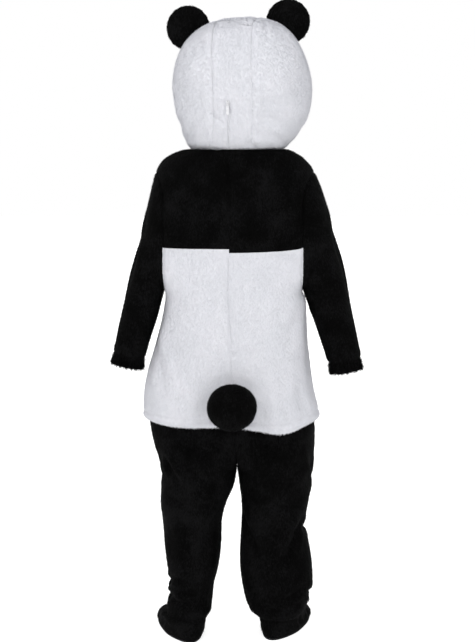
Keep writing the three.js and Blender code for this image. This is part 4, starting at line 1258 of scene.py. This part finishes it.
# %% [markdown]
# A sleeve's first ring is the armhole's rim itself. It is sewn there, at the cuff and along the underarm.

# %% Sew the sleeves and cuffs
def tube_form(tube):
    return lambda us, vs: tube.point(360 * us[None, :], vs[:, None] * tube.last)


RUFFLES, SMALL_RUFFLES = 19, 31  # round a cuff
RUFFLE_HEIGHT = [(0, 0), (0.12, 0.8), (0.3, 1.6), (1, 3.6)]  # share of the way down, mm


def ruffled(us, vs, points, normals):
    """Gathers that start at the elastic and open towards the edge, no two alike."""
    turn = 2 * np.pi * us[None, :]
    wander = 0.9 * np.sin(3 * turn + 1.0) + 0.5 * np.sin(5 * turn + 2.0)
    waves = 0.75 * np.sin(RUFFLES * turn + wander) + 0.35 * np.sin(SMALL_RUFFLES * turn + 2 * wander)
    size = np.interp(vs, *zip(*RUFFLE_HEIGHT))[:, None]
    return points + normals * (waves * size)[..., None]


for side in ("left", "right"):
    outward = -1 if side == "left" else 1
    rings = [lambda turn, side=side: rim_point(side, turn)] + [sleeve_ring(row) for row in SLEEVE[side]]
    sleeve = Tube(rings, outward)
    form = tube_form(sleeve)

    def rim_shared(us, vs, normals, side=side):
        return share_direction(normals, "d", rim_out(side, 360 * us))

    def underarm(us, vs, form=form):
        return form(np.array([0.5]), vs)[:, 0]

    panel(f"sleeve_{side}", form, "black", "du", closed=True, creases=SLEEVE_CREASES[side], whole=survey(sleeve),
          bold=BOLD, uneven=(2.2, 75.0), edge_normals=rim_shared, outward=outward, seams=[underarm])
    wrist = SLEEVE[side][-1]
    cuff = Tube([sleeve_ring(wrist, down, grow) for down, grow in CUFF], outward)
    panel(f"cuff_{side}", tube_form(cuff), "cuff", "d", hems={"u": (9, 0.6)}, closed=True, uneven=(0.6, 40.0),
          outward=outward, shape=ruffled, step=2.4)

# %% [markdown]
# The trousers are four panels. Their top is sewn inside the white body, out of sight. Above the fork the two legs
# meet at a seam down the middle, and below it each leg is a tube of its own with a seam on either side.

# %% Trouser form
TROUSER_INSIDE = 12
TROUSER_TOP = -548
HIPS = [  # z, centre, left, right, reach, back, front
    (-590, -3, 176, -178, 0.86, 106, 111),
    (-632, -7, 167, -179, 0.55, 103, 107),
    (-655, -9, 159, -177, 0.3, 101, 104),
    (-672, -10, 155, -176, 0.12, 99, 102),
    (-679, -11, 154, -175, 0.03, 98, 101),
    (-682, -11, 154, -175, 0, 98, 101),
]
LEG = {  # z, outer, inner, back, front
    "left": [
        (-725, 153, -3, 92, 95),
        (-765, 156, 13, 86, 90),
        (-805, 151, 23, 80, 85),
        (-855, 146, 25, 76, 80),
        (-905, 140, 30, 73, 76),
        (-950, 135, 40, 69, 68),
        (-985, 139, 44, 68, 58),
        (-1010, 143, 47, 72, 49),
    ],
    "right": [
        (-725, -171, -18, 92, 95),
        (-765, -165, -22, 86, 90),
        (-815, -157, -22, 80, 86),
        (-855, -166, -20, 80, 86),
        (-905, -174, -19, 82, 86),
        (-945, -175, -23, 79, 78),
        (-985, -165, -32, 74, 61),
        (-1010, -155, -44, 70, 50),
    ],
}
SIGN = {"left": 1, "right": -1}
FORK_ROW = len(HIPS)
CENTRES = [0] + [row[1] for row in HIPS]


def trouser_top(side):
    row = float(body_row(TROUSER_TOP))

    def at(degrees):
        angle = degrees if side == "left" else 180 - degrees
        return body.point(angle, row) - body.out(angle, row) * TROUSER_INSIDE

    return at


def hip_ring(side, z, centre, left, right, reach, back, front):
    outer = left if side == "left" else right
    return level_ring(z, outer, centre - reach * (outer - centre), back, front, 2.5)


legs = {}
for side in ("left", "right"):
    hips = [hip_ring(side, *row) for row in HIPS]
    below = [level_ring(z, outer, inner, back, front, 2.3) for z, outer, inner, back, front in LEG[side]]
    legs[side] = Tube([trouser_top(side)] + hips + below, -SIGN[side])
leg_rows = np.linspace(0, FORK_ROW, 120)
leg_centres = np.interp(leg_rows, range(FORK_ROW + 1), CENTRES)


def inner_table(side, quarter):
    def beyond(angle):
        return (legs[side].point(quarter * angle, leg_rows)[:, 0] - leg_centres) * SIGN[side]

    angles = solve(beyond, np.full(leg_rows.shape, 60.0), np.full(leg_rows.shape, 180.0))
    angles[-1] = 180.0
    return angles * quarter


inner_marks = {(side, quarter): inner_table(side, quarter) for side in SIGN for quarter in (1, -1)}
seam_lines = {}
for quarter in (1, -1):
    left, right = (legs[side].point(inner_marks[side, quarter], leg_rows) for side in ("left", "right"))
    seam_lines[quarter] = np.stack([leg_centres, (left[:, 1] + right[:, 1]) / 2, left[:, 2]], 1)
    seam_lines[quarter][-1] = (CENTRES[-1], 0, HIPS[-1][0])


def leg_form(side, quarter):
    tube = legs[side]

    def form(us, vs):
        row = vs * tube.last
        inner = np.where(row < FORK_ROW, np.interp(row, leg_rows, inner_marks[side, quarter]), 180.0 * quarter)
        middle = quarter * BACK
        share = 2 * us[None, :]
        angle = np.where(share <= 1, middle * share, lerp(middle, inner[:, None], share - 1))
        points = tube.point(angle, row[:, None])
        # Down to the fork nothing crosses the middle, and the last column lies on the shared seam.
        high = row <= FORK_ROW
        limit = np.interp(row, range(FORK_ROW + 1), CENTRES) + SIGN[side] * 0.15
        past = (points[..., 0] - limit[:, None]) * SIGN[side] < 0
        points[..., 0] = np.where(past & high[:, None], limit[:, None], points[..., 0])
        if us[-1] == 1:
            line = np.stack([np.interp(row, leg_rows, seam_lines[quarter][:, k]) for k in range(3)], 1)
            points[:, -1] = np.where(high[:, None], line, points[:, -1])
        return points

    return form


print("fork at", CENTRES[-1], HIPS[-1][0], "mm; leg rows:", legs["left"].last)

# %% [markdown]
# A foot cover is a tube from the leg's end down to the sole. Its rings grow from the ankle to a foot's outline, which
# is narrower at the heel, and both feet turn out.

# %% Foot form
SOLE_Z, SOLE_THICK = -1058, 4
FOOT = {"left": (105, 8, 14), "right": (-107, -8, -18)}  # x, y, toe out
FOOT_ROWS = [  # up, heel, toe, half, egg
    (42, 70, 56, 46, 0.05),
    (33, 74, 108, 44, 0.12),
    (22, 77, 138, 43, 0.25),
    (12, 78, 147, 43, 0.33),
    (SOLE_THICK + 0.3, 75, 145, 41, 0.35),
]


def foot_ring(side, up, heel, toe, half, egg):
    x, y, toe_out = FOOT[side]
    turn = math.radians(toe_out)
    across = np.array([math.cos(turn), math.sin(turn), 0]) * np.sign(x)
    return ring((x, y, SOLE_Z + up), across, (-math.sin(turn), math.cos(turn), 0), half, heel, toe, 2.2, egg)


feet = {}
for side in ("left", "right"):
    ankle = [lambda degrees, tube=legs[side]: tube.point(degrees, tube.last)]
    feet[side] = Tube(ankle + [foot_ring(side, *row) for row in FOOT_ROWS], -SIGN[side])


def ankle_directions(side, degrees):
    leg, foot = legs[side], feet[side]
    return unit(leg.out(degrees, leg.last) + foot.out(degrees, 0.0))


print("feet:", feet["left"].last, "rows each")

# %% [markdown]
# Trouser legs of soft plush break over the foot, hang in long folds from the seat and pull into short slanting
# creases behind the knee. The left leg has them just below the hem and at the knee. The right leg bags over the calf.

# %% The creases of the trousers and foot covers
LEG_CREASES = {  # view, points, width, depth
    "left": [
        ("back", [(128, -590), (98, -612), (64, -640)], 9, -4.0),
        ("back", [(66, -604), (34, -622), (0, -640)], 8, -3.0),
        ("back", [(146, -652), (128, -684), (106, -712)], 8, -4.2),
        ("back", [(120, -648), (88, -682), (56, -714), (28, -722)], 9, -5.0),
        ("back", [(104, -674), (74, -704), (44, -716)], 7, 2.2),
        ("back", [(140, -738), (112, -752), (78, -754)], 8, -3.2),
        ("back", [(36, -744), (60, -756), (90, -772)], 8, -2.6),
        ("back", [(118, -790), (112, -840), (116, -892)], 13, 2.0),
        ("back", [(62, -800), (56, -850), (64, -910)], 13, -2.0),
        ("back", [(138, -912), (112, -924), (82, -920)], 7, -3.4),
        ("back", [(136, -940), (106, -954), (72, -946)], 7, -3.6),
        ("back", [(132, -968), (104, -980), (66, -972)], 7, -3.0),
        ("back", [(54, -936), (66, -962), (62, -990)], 7, -2.2),
        ("front", [(130, -600), (104, -640), (110, -700)], 12, -3.0),
        ("front", [(60, -600), (40, -650), (20, -690)], 10, -3.0),
        ("front", [(138, -730), (104, -748), (64, -744)], 9, -3.0),
        ("front", [(136, -776), (100, -784), (58, -772)], 9, -2.8),
        ("front", [(124, -820), (116, -870), (122, -910)], 12, 2.0),
        ("front", [(130, -918), (96, -934), (60, -926)], 8, -4.0),
        ("front", [(132, -950), (96, -966), (58, -956)], 8, -4.4),
        ("front", [(130, -980), (96, -992), (64, -984)], 7, -3.2),
        ("left", [(60, -640), (20, -690), (-20, -720)], 11, -3.0),
        ("left", [(-50, -620), (-40, -700), (-48, -780)], 12, -2.4),
        ("left", [(50, -926), (6, -940), (-44, -926)], 8, -3.4),
        ("left", [(46, -962), (4, -974), (-36, -962)], 8, -3.2),
    ],
    "right": [
        ("back", [(-68, -590), (-72, -622), (-80, -664)], 8, -3.0),
        ("back", [(-98, -588), (-96, -626), (-92, -668)], 7, -2.6),
        ("back", [(-130, -586), (-126, -624), (-122, -660)], 8, -3.0),
        ("back", [(-30, -612), (-48, -648), (-46, -700)], 9, -2.8),
        ("back", [(-152, -668), (-120, -700), (-86, -712)], 9, -2.6),
        ("back", [(-150, -740), (-118, -758), (-80, -762)], 9, -2.6),
        ("back", [(-24, -780), (-40, -830), (-60, -888)], 9, -5.0),
        ("back", [(-150, -788), (-134, -838), (-114, -890)], 9, -5.0),
        ("back", [(-158, -806), (-120, -816), (-84, -808)], 8, -3.0),
        ("back", [(-90, -872), (-92, -912), (-88, -952)], 26, 4.0),
        ("back", [(-160, -940), (-120, -962), (-66, -958)], 9, -3.4),
        ("back", [(-150, -972), (-112, -984), (-60, -976)], 8, -3.2),
        ("back", [(-34, -930), (-50, -960), (-52, -990)], 8, -2.4),
        ("front", [(-140, -606), (-116, -650), (-118, -706)], 12, -3.0),
        ("front", [(-56, -604), (-40, -650), (-30, -700)], 10, -3.0),
        ("front", [(-152, -740), (-112, -758), (-66, -752)], 9, -3.0),
        ("front", [(-144, -796), (-104, -806), (-60, -796)], 9, -3.2),
        ("front", [(-150, -850), (-130, -890), (-134, -930)], 12, 2.2),
        ("front", [(-154, -930), (-108, -948), (-56, -936)], 9, -4.2),
        ("front", [(-148, -964), (-104, -980), (-58, -968)], 8, -4.2),
        ("right", [(56, -650), (16, -700), (-26, -728)], 11, -3.0),
        ("right", [(-50, -630), (-42, -710), (-50, -790)], 12, -2.4),
        ("right", [(54, -812), (8, -822), (-44, -812)], 9, -3.4),
        ("right", [(50, -950), (6, -966), (-40, -950)], 8, -3.4),
    ],
}
FOOT_CREASES = {  # view, points, width, depth
    "left": [
        ("front", [(140, -1024), (112, -1020), (84, -1024)], 6, -1.8),
        ("left", [(20, -1020), (8, -1034), (-4, -1048)], 6, -2.0),
        ("left", [(-40, -1022), (-48, -1036), (-60, -1050)], 6, -1.6),
        ("back", [(110, -1022), (98, -1036), (90, -1048)], 6, -1.6),
    ],
    "right": [
        ("front", [(-150, -1024), (-122, -1020), (-92, -1024)], 6, -1.8),
        ("right", [(16, -1020), (2, -1034), (-10, -1048)], 6, -2.0),
        ("right", [(-48, -1022), (-56, -1036), (-66, -1050)], 6, -1.6),
        ("back", [(-112, -1022), (-100, -1036), (-92, -1048)], 6, -1.6),
    ],
}
print("trouser creases:", {side: len(rows) for side, rows in LEG_CREASES.items()})

# %% [markdown]
# Two panels make a leg, and the foot cover is sewn on at the ankle, where both lean the same way.

# %% Sew the trousers and foot covers
for side in ("left", "right"):
    for quarter, word in ((1, "back"), (-1, "front")):

        def ankle_shared(us, vs, normals, side=side, quarter=quarter):
            return share_direction(normals, "u", ankle_directions(side, 180.0 * quarter * us))

        panel(f"leg_{word}_{side}", leg_form(side, quarter), "black", "ulr", creases=LEG_CREASES[side],
              whole=survey(legs[side]), bold=BOLD, uneven=(2.8, 85.0), edge_normals=ankle_shared,
              outward=-SIGN[side] * quarter)

    def foot_shared(us, vs, normals, side=side):
        return share_direction(normals, "d", ankle_directions(side, 360.0 * us))

    panel(f"foot_upper_{side}", tube_form(feet[side]), "black", "du", closed=True, creases=FOOT_CREASES[side],
          whole=survey(feet[side]), bold=1.8, uneven=(1.2, 50.0), edge_normals=foot_shared, outward=-SIGN[side],
          step=4.0)

# %% [markdown]
# Each sole is a flat pad of felted cloth, cut to the foot cover's outline with a rounded edge.

# %% Soles
SOLE_SIDES, SOLE_ROUNDING = 72, 1.4
for side in ("left", "right"):
    bm = bmesh.new()
    bmesh.ops.create_circle(bm, cap_ends=True, segments=SOLE_SIDES, radius=1)
    for vert in bm.verts:
        angle = math.degrees(math.atan2(vert.co.y, vert.co.x))
        x, y, _ = feet[side].point(angle if side == "left" else 180 - angle, float(feet[side].last))
        vert.co = Vector((x, y, SOLE_Z)) * MM
    raised = bmesh.ops.extrude_face_region(bm, geom=bm.faces[:])
    top = [v for v in raised["geom"] if isinstance(v, bmesh.types.BMVert)]
    bmesh.ops.translate(bm, verts=top, vec=(0, 0, SOLE_THICK * MM))
    rim_edges = [e for e in bm.edges if len(e.link_faces) == 2 and abs(e.verts[0].co.z - e.verts[1].co.z) < 1e-6]
    bmesh.ops.bevel(bm, geom=rim_edges, offset=SOLE_ROUNDING * MM, segments=3, profile=0.5, affect="EDGES",
                    material=-1, offset_type="OFFSET")
    bmesh.ops.recalc_face_normals(bm, faces=bm.faces[:])
    sole = object_from(bm, f"sole_pad_{side}")
    sole.data.materials.append(SOLE_FELT)
    made[f"sole_{side}"] = sole
print("soles:", SOLE_THICK, "mm thick")

# %% [markdown]
# The ears are two discs of plush each, sewn round the rim, turned and filled. A flattened sphere gives that crowned
# form, and its rim is pulled in at the seam. What would lie inside the hood is cut away there.

# %% Ears
EAR_RADIUS, EAR_THICK, EAR_Y = 47, 30, -34
EARS = {"left": (94, 257, EAR_Y - 15), "right": (-119, 267, EAR_Y + 15)}  # x, z, y
BURIED, SUNK = 4, 1.2  # mm under the hood's cloth: what is cut away, and where the cut edge sits
SORTED_ALONG = Vector((1.0, 0.7549, 0.5698))  # a direction in which no two faces of a ball lie equally far


def ball(columns, rows):
    """A unit sphere. Blender gives its faces in a new order on each run, and the pile follows that order, so the
    faces are sorted."""
    bm = bmesh.new()
    bm.loops.layers.uv.new("OFBake")
    bmesh.ops.create_uvsphere(bm, u_segments=columns, v_segments=rows, radius=1, calc_uvs=True)
    bm.faces.sort(key=lambda face: face.calc_center_median().dot(SORTED_ALONG))
    return bm


hood_faces = bmesh.new()
for name in ("hood_gusset", "hood_side_left", "hood_side_right"):
    hood_faces.from_mesh(made[name].data)
hood_surface = BVHTree.FromBMesh(hood_faces)


def above_hood(point):
    """How far a point stands above the hood, with the nearest place there and the way out of it."""
    near, normal, _, _ = hood_surface.find_nearest(point)
    return (point - near).dot(normal), near, normal


for side, (x, z, y) in EARS.items():
    bm = ball(64, 40)
    for vert in bm.verts:
        flat = math.hypot(vert.co.x, vert.co.y)
        crown = math.copysign(abs(vert.co.z) ** 0.8, vert.co.z)
        seam = 1 - 0.05 * math.exp(-((vert.co.z / 0.1) ** 2))
        turn = math.atan2(vert.co.y, vert.co.x)
        pucker = 0.012 * math.sin(23 * turn + 1.7 * math.sin(4 * turn)) * flat**6
        spread = (seam + pucker) * EAR_RADIUS
        vert.co = Vector((vert.co.x * spread, -crown * EAR_THICK / 2, vert.co.y * spread))
        if abs(crown) < 0.35:
            vert.co.y *= 0.75
    bmesh.ops.rotate(bm, verts=bm.verts, matrix=Matrix.Rotation(math.radians(HEAD_YAW), 3, "Z"))
    bmesh.ops.scale(bm, verts=bm.verts, vec=(MM, MM, MM))
    bmesh.ops.translate(bm, verts=bm.verts, vec=(x * MM, y * MM, z * MM))
    buried = [v for v in bm.verts if above_hood(v.co)[0] < -BURIED * MM]
    bmesh.ops.delete(bm, geom=buried, context="VERTS")
    rim_verts = {v for e in bm.edges if e.is_boundary for v in e.verts}
    for vert in bm.verts:
        gap, near, normal = above_hood(vert.co)
        if vert in rim_verts or gap < -SUNK * MM:
            vert.co = near - normal * SUNK * MM
    bmesh.ops.holes_fill(bm, edges=[e for e in bm.edges if e.is_boundary], sides=0)
    bmesh.ops.recalc_face_normals(bm, faces=bm.faces[:])
    ear = object_from(bm, f"ear_pad_{side}")
    ear.data.materials.append(BLACK_PLUSH)
    add_pile(ear, "black")
    made[f"ear_{side}"] = ear
    print(ear.name, len(ear.data.polygons), "faces")

# %% [markdown]
# The tail is a filled ball, gathered a little at its seat, with the same pile. Its far side is flattened where it is
# sewn on over the back seam.

# %% Tail
TAIL_MIDDLE, TAIL_SIZE = (TAIL_X, 158, TAIL_Z), (51, 44, 48)
TAIL_GAP = 0.4  # mm between the flattened side and the cloth
bm = ball(72, 44)
for vert in bm.verts:
    direction = np.array(vert.co)
    lumps = 0.012 * float(swell(direction[None] * 50, 45, 21)[0])
    size = 1 + lumps - 0.02 * math.exp(-((direction[0] / 0.05) ** 2))
    vert.co = Vector(direction * size * np.array(TAIL_SIZE) + np.array(TAIL_MIDDLE)) * MM
back_faces = bmesh.new()
for name in ("back_lower_left", "back_lower_right"):
    back_faces.from_mesh(made[name].data)
back_surface = BVHTree.FromBMesh(back_faces)
for vert in bm.verts:
    near, normal, _, _ = back_surface.find_nearest(vert.co)
    if (vert.co - near).dot(normal) < TAIL_GAP * MM:
        vert.co = near + normal * TAIL_GAP * MM
bmesh.ops.recalc_face_normals(bm, faces=bm.faces[:])
tail = object_from(bm, "tail_ball")
tail.data.materials.append(BLACK_PLUSH)
add_pile(tail, "black")
made["tail"] = tail
print(tail.name, len(tail.data.polygons), "faces")

# %% [markdown]
# The zip's tape lies behind the closed back edges and behind the slit, as thin strips of twill.

# %% Zip tape
TAPE_HALF, TAPE_BEHIND, TAPE_THICK, ZIP_BOTTOM = 8, 3.9, 0.9, -450


def tape_form(tube, angle_of, rows):
    def form(us, vs):
        row = lerp(rows[0], rows[1], vs)
        middle = angle_of(row)
        centre = tube.point(middle, row)

        def edge(far):
            def apart(angle):
                return np.linalg.norm(tube.point(angle, row) - centre, axis=-1) - TAPE_HALF

            return solve(apart, middle, middle + far)

        low, high = edge(-30.0), edge(30.0)
        angle = lerp(low[:, None], high[:, None], us[None, :])
        return tube.point(angle, row[:, None]) - tube.out(angle, row[:, None]) * TAPE_BEHIND

    return form


def tape(name, form):
    us, vs = lay_grid(form, step=4.0)
    bm, _ = grid_mesh(form(us, vs), False)
    piece = object_from(bm, name + "_twill")
    piece.data.materials.append(TAPE_TWILL)
    wall = piece.modifiers.new("thickness", "SOLIDIFY")
    wall.thickness = TAPE_THICK * MM
    wall.offset = -1
    made[name] = piece


tape_rows = (float(body_row(ZIP_BOTTOM)), float(body_row(-8)))
tape("zip_tape_body", tape_form(body, zip_angle, tape_rows))
tape("zip_tape_hood", tape_form(hood, lambda row: np.interp(row, hood_rows, hood_zip), (0.05, hood_row(TAPE_TOP))))
print("tapes laid")

# %% [markdown]
# Nylon teeth close the slit. Each tooth is a small bevelled block that reaches over the middle from its own side,
# and the two rows take turns. They follow the slit from the neck up to the slider.

# %% Teeth
TOOTH_PITCH, TOOTH_SIZE = 1.6, (3.0, 1.3, 0.95)  # mm: across, deep, high
TOOTH_ASIDE, TOOTH_BEHIND, TOOTH_BEVEL = 0.9, 2.6, 0.22
slit_rows = np.linspace(0.02, hood_row(ZIP_TOP - 6), 200)
slit_angles = np.interp(slit_rows, hood_rows, hood_zip)
slit_points = hood.point(slit_angles, slit_rows)
slit_outs = hood.out(slit_angles, slit_rows)
run = np.concatenate([[0], np.cumsum(np.linalg.norm(np.diff(slit_points, axis=0), axis=1))])
teeth = bmesh.new()
for k, distance in enumerate(np.arange(0.8, run[-1], TOOTH_PITCH / 2)):
    p = np.array([np.interp(distance, run, slit_points[:, c]) for c in range(3)])
    n = unit(np.array([np.interp(distance, run, slit_outs[:, c]) for c in range(3)]))
    ahead = np.array([np.interp(distance + 1, run, slit_points[:, c]) for c in range(3)])
    up = unit(ahead - p)
    across = np.cross(up, n)
    side_step = TOOTH_ASIDE if k % 2 else -TOOTH_ASIDE
    one = bmesh.new()
    bmesh.ops.create_cube(one, size=1)
    bmesh.ops.scale(one, verts=one.verts, vec=TOOTH_SIZE)
    bmesh.ops.bevel(one, geom=one.edges[:], offset=TOOTH_BEVEL, segments=1, profile=0.5, affect="EDGES",
                    material=-1, offset_type="OFFSET")
    for vert in one.verts:
        a, b, c = vert.co
        place = p + n * (b - TOOTH_BEHIND) + across * (a + side_step) + up * c
        vert.co = Vector(place) * MM
    bmesh.ops.recalc_face_normals(one, faces=one.faces[:])
    scrap = bpy.data.meshes.new("tooth")
    one.to_mesh(scrap)
    one.free()
    teeth.from_mesh(scrap)
    bpy.data.meshes.remove(scrap)
zip_teeth = object_from(teeth, "zip_teeth", smooth=False)
zip_teeth.data.materials.append(NYLON)
made["zip_teeth"] = zip_teeth
print("teeth:", k + 1)

# %% [markdown]
# The slider and its pull tab keep their CAD form and get enamel. Every other CAD solid is replaced by its cloth.

# %% Riding and replacing
same_name = [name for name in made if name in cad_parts]
for name in same_name:
    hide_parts(name)
for name in ("zip_slider", "zip_pull"):
    for slot in bpy.data.objects[name].material_slots:
        slot.material = ENAMEL
for side in ("left", "right"):
    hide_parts(f"ear_{side}_back", f"ear_{side}_front")
for piece in [*made.values(), *piles.values()]:
    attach(piece, "costume")
print("replaced:", len(same_name) + 4, "of", len(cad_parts), "nodes")

# %% [markdown]
# The ears and the tail are padded.

# %% [markdown]
# The costume stands in a white room whose walls give most of the light, as in a studio for clothes: that is the
# world. Two soft lamps stand on either side of the camera, and a third, weaker one hangs overhead.

# %% Lamps and room
def soft_light(name, place, aim, size, power):
    data = bpy.data.lights.new(name, "AREA")
    data.shape = "DISK"
    data.size = size
    data.energy = power
    light = bpy.data.objects.new(name, data)
    light.location = place
    light.rotation_euler = (Vector(aim) - Vector(place)).to_track_quat("-Z", "Y").to_euler()
    bpy.context.collection.objects.link(light)


LAMPS = [  # place and size in metres, power in watts
    ("key", (1.4, 2.3, 1.4), 0.9, 21),
    ("fill", (-1.5, 2.3, 1.0), 1.2, 15),
    ("above", (0.2, 0.2, 2.4), 1.4, 10),
]
for name, place, size, power in LAMPS:
    soft_light(name, place, (0, 0, 0), size, power)
ROOM, ROOM_SEEN = 0.8, 1.0  # the world's strength as light and as the camera sees it
world = bpy.data.worlds.new("white_room")
world.use_nodes = True
world.node_tree.nodes.clear()
seen = add_node(world.node_tree, "ShaderNodeLightPath").outputs["Is Camera Ray"]
strength = add_node(world.node_tree, "ShaderNodeMapRange", {"To Min": ROOM, "To Max": ROOM_SEEN}, {"Value": seen})
white = {"Color": hex_colour("ffffff")}
sky = add_node(world.node_tree, "ShaderNodeBackground", white, {"Strength": strength.outputs[0]})
add_node(world.node_tree, "ShaderNodeOutputWorld", links={"Surface": sky.outputs[0]})
bpy.context.scene.world = world
bpy.context.scene.view_settings.view_transform = "Standard"
print("lamps:", len(LAMPS), "and a room of strength", ROOM)

# %% [markdown]
# The floor is wide white paper. It glows, and more so far away, so that it ends without a horizon. The glow is for
# the eye: it lights the costume much less, or the blacks would turn grey from below.

# %% Floor
FLOOR_HALF = 30  # metres
GLOW_NEAR, GLOW_FAR = (2.0, 0.66), (6.0, 1.0)  # metres from the middle, strength that the camera sees
GLOW_AS_LIGHT = 0.2
material, tree = new_material("matt_white_paper")
place = add_node(tree, "ShaderNodeTexCoord").outputs["Object"]
tone = add_node(tree, "ShaderNodeTexNoise", {"Scale": 3.0, "Detail": 3.0}, {"Vector": place})
paper = add_node(tree, "ShaderNodeValToRGB", links={"Fac": tone.outputs[0]})
set_stops(paper.color_ramp, [(0.3, "fafafa"), (0.7, "ffffff")])
far = add_node(tree, "ShaderNodeVectorMath", {"operation": "LENGTH"}, {0: place}).outputs["Value"]
brighter = {"From Min": GLOW_NEAR[0], "From Max": GLOW_FAR[0], "To Min": GLOW_NEAR[1], "To Max": GLOW_FAR[1]}
glow = add_node(tree, "ShaderNodeMapRange", brighter, {"Value": far})
lit = add_node(tree, "ShaderNodeLightPath").outputs["Is Camera Ray"]
strength = add_node(
    tree, "ShaderNodeMapRange", {"To Min": GLOW_AS_LIGHT}, {"Value": lit, "To Max": glow.outputs[0]}
)
shader = add_node(
    tree,
    "ShaderNodeBsdfPrincipled",
    {"Roughness": 0.95, "Emission Color": hex_colour("ffffff")},
    {"Base Color": paper.outputs[0], "Emission Strength": strength.outputs[0]},
)
finish_material(tree, shader)
bm = bmesh.new()
bmesh.ops.create_grid(bm, x_segments=8, y_segments=8, size=FLOOR_HALF)
bmesh.ops.translate(bm, verts=bm.verts, vec=(0, 0, SOLE_Z * MM))
floor = object_from(bm, "floor")
floor.data.materials.append(material)
print("floor:", 2 * FLOOR_HALF, "m wide")
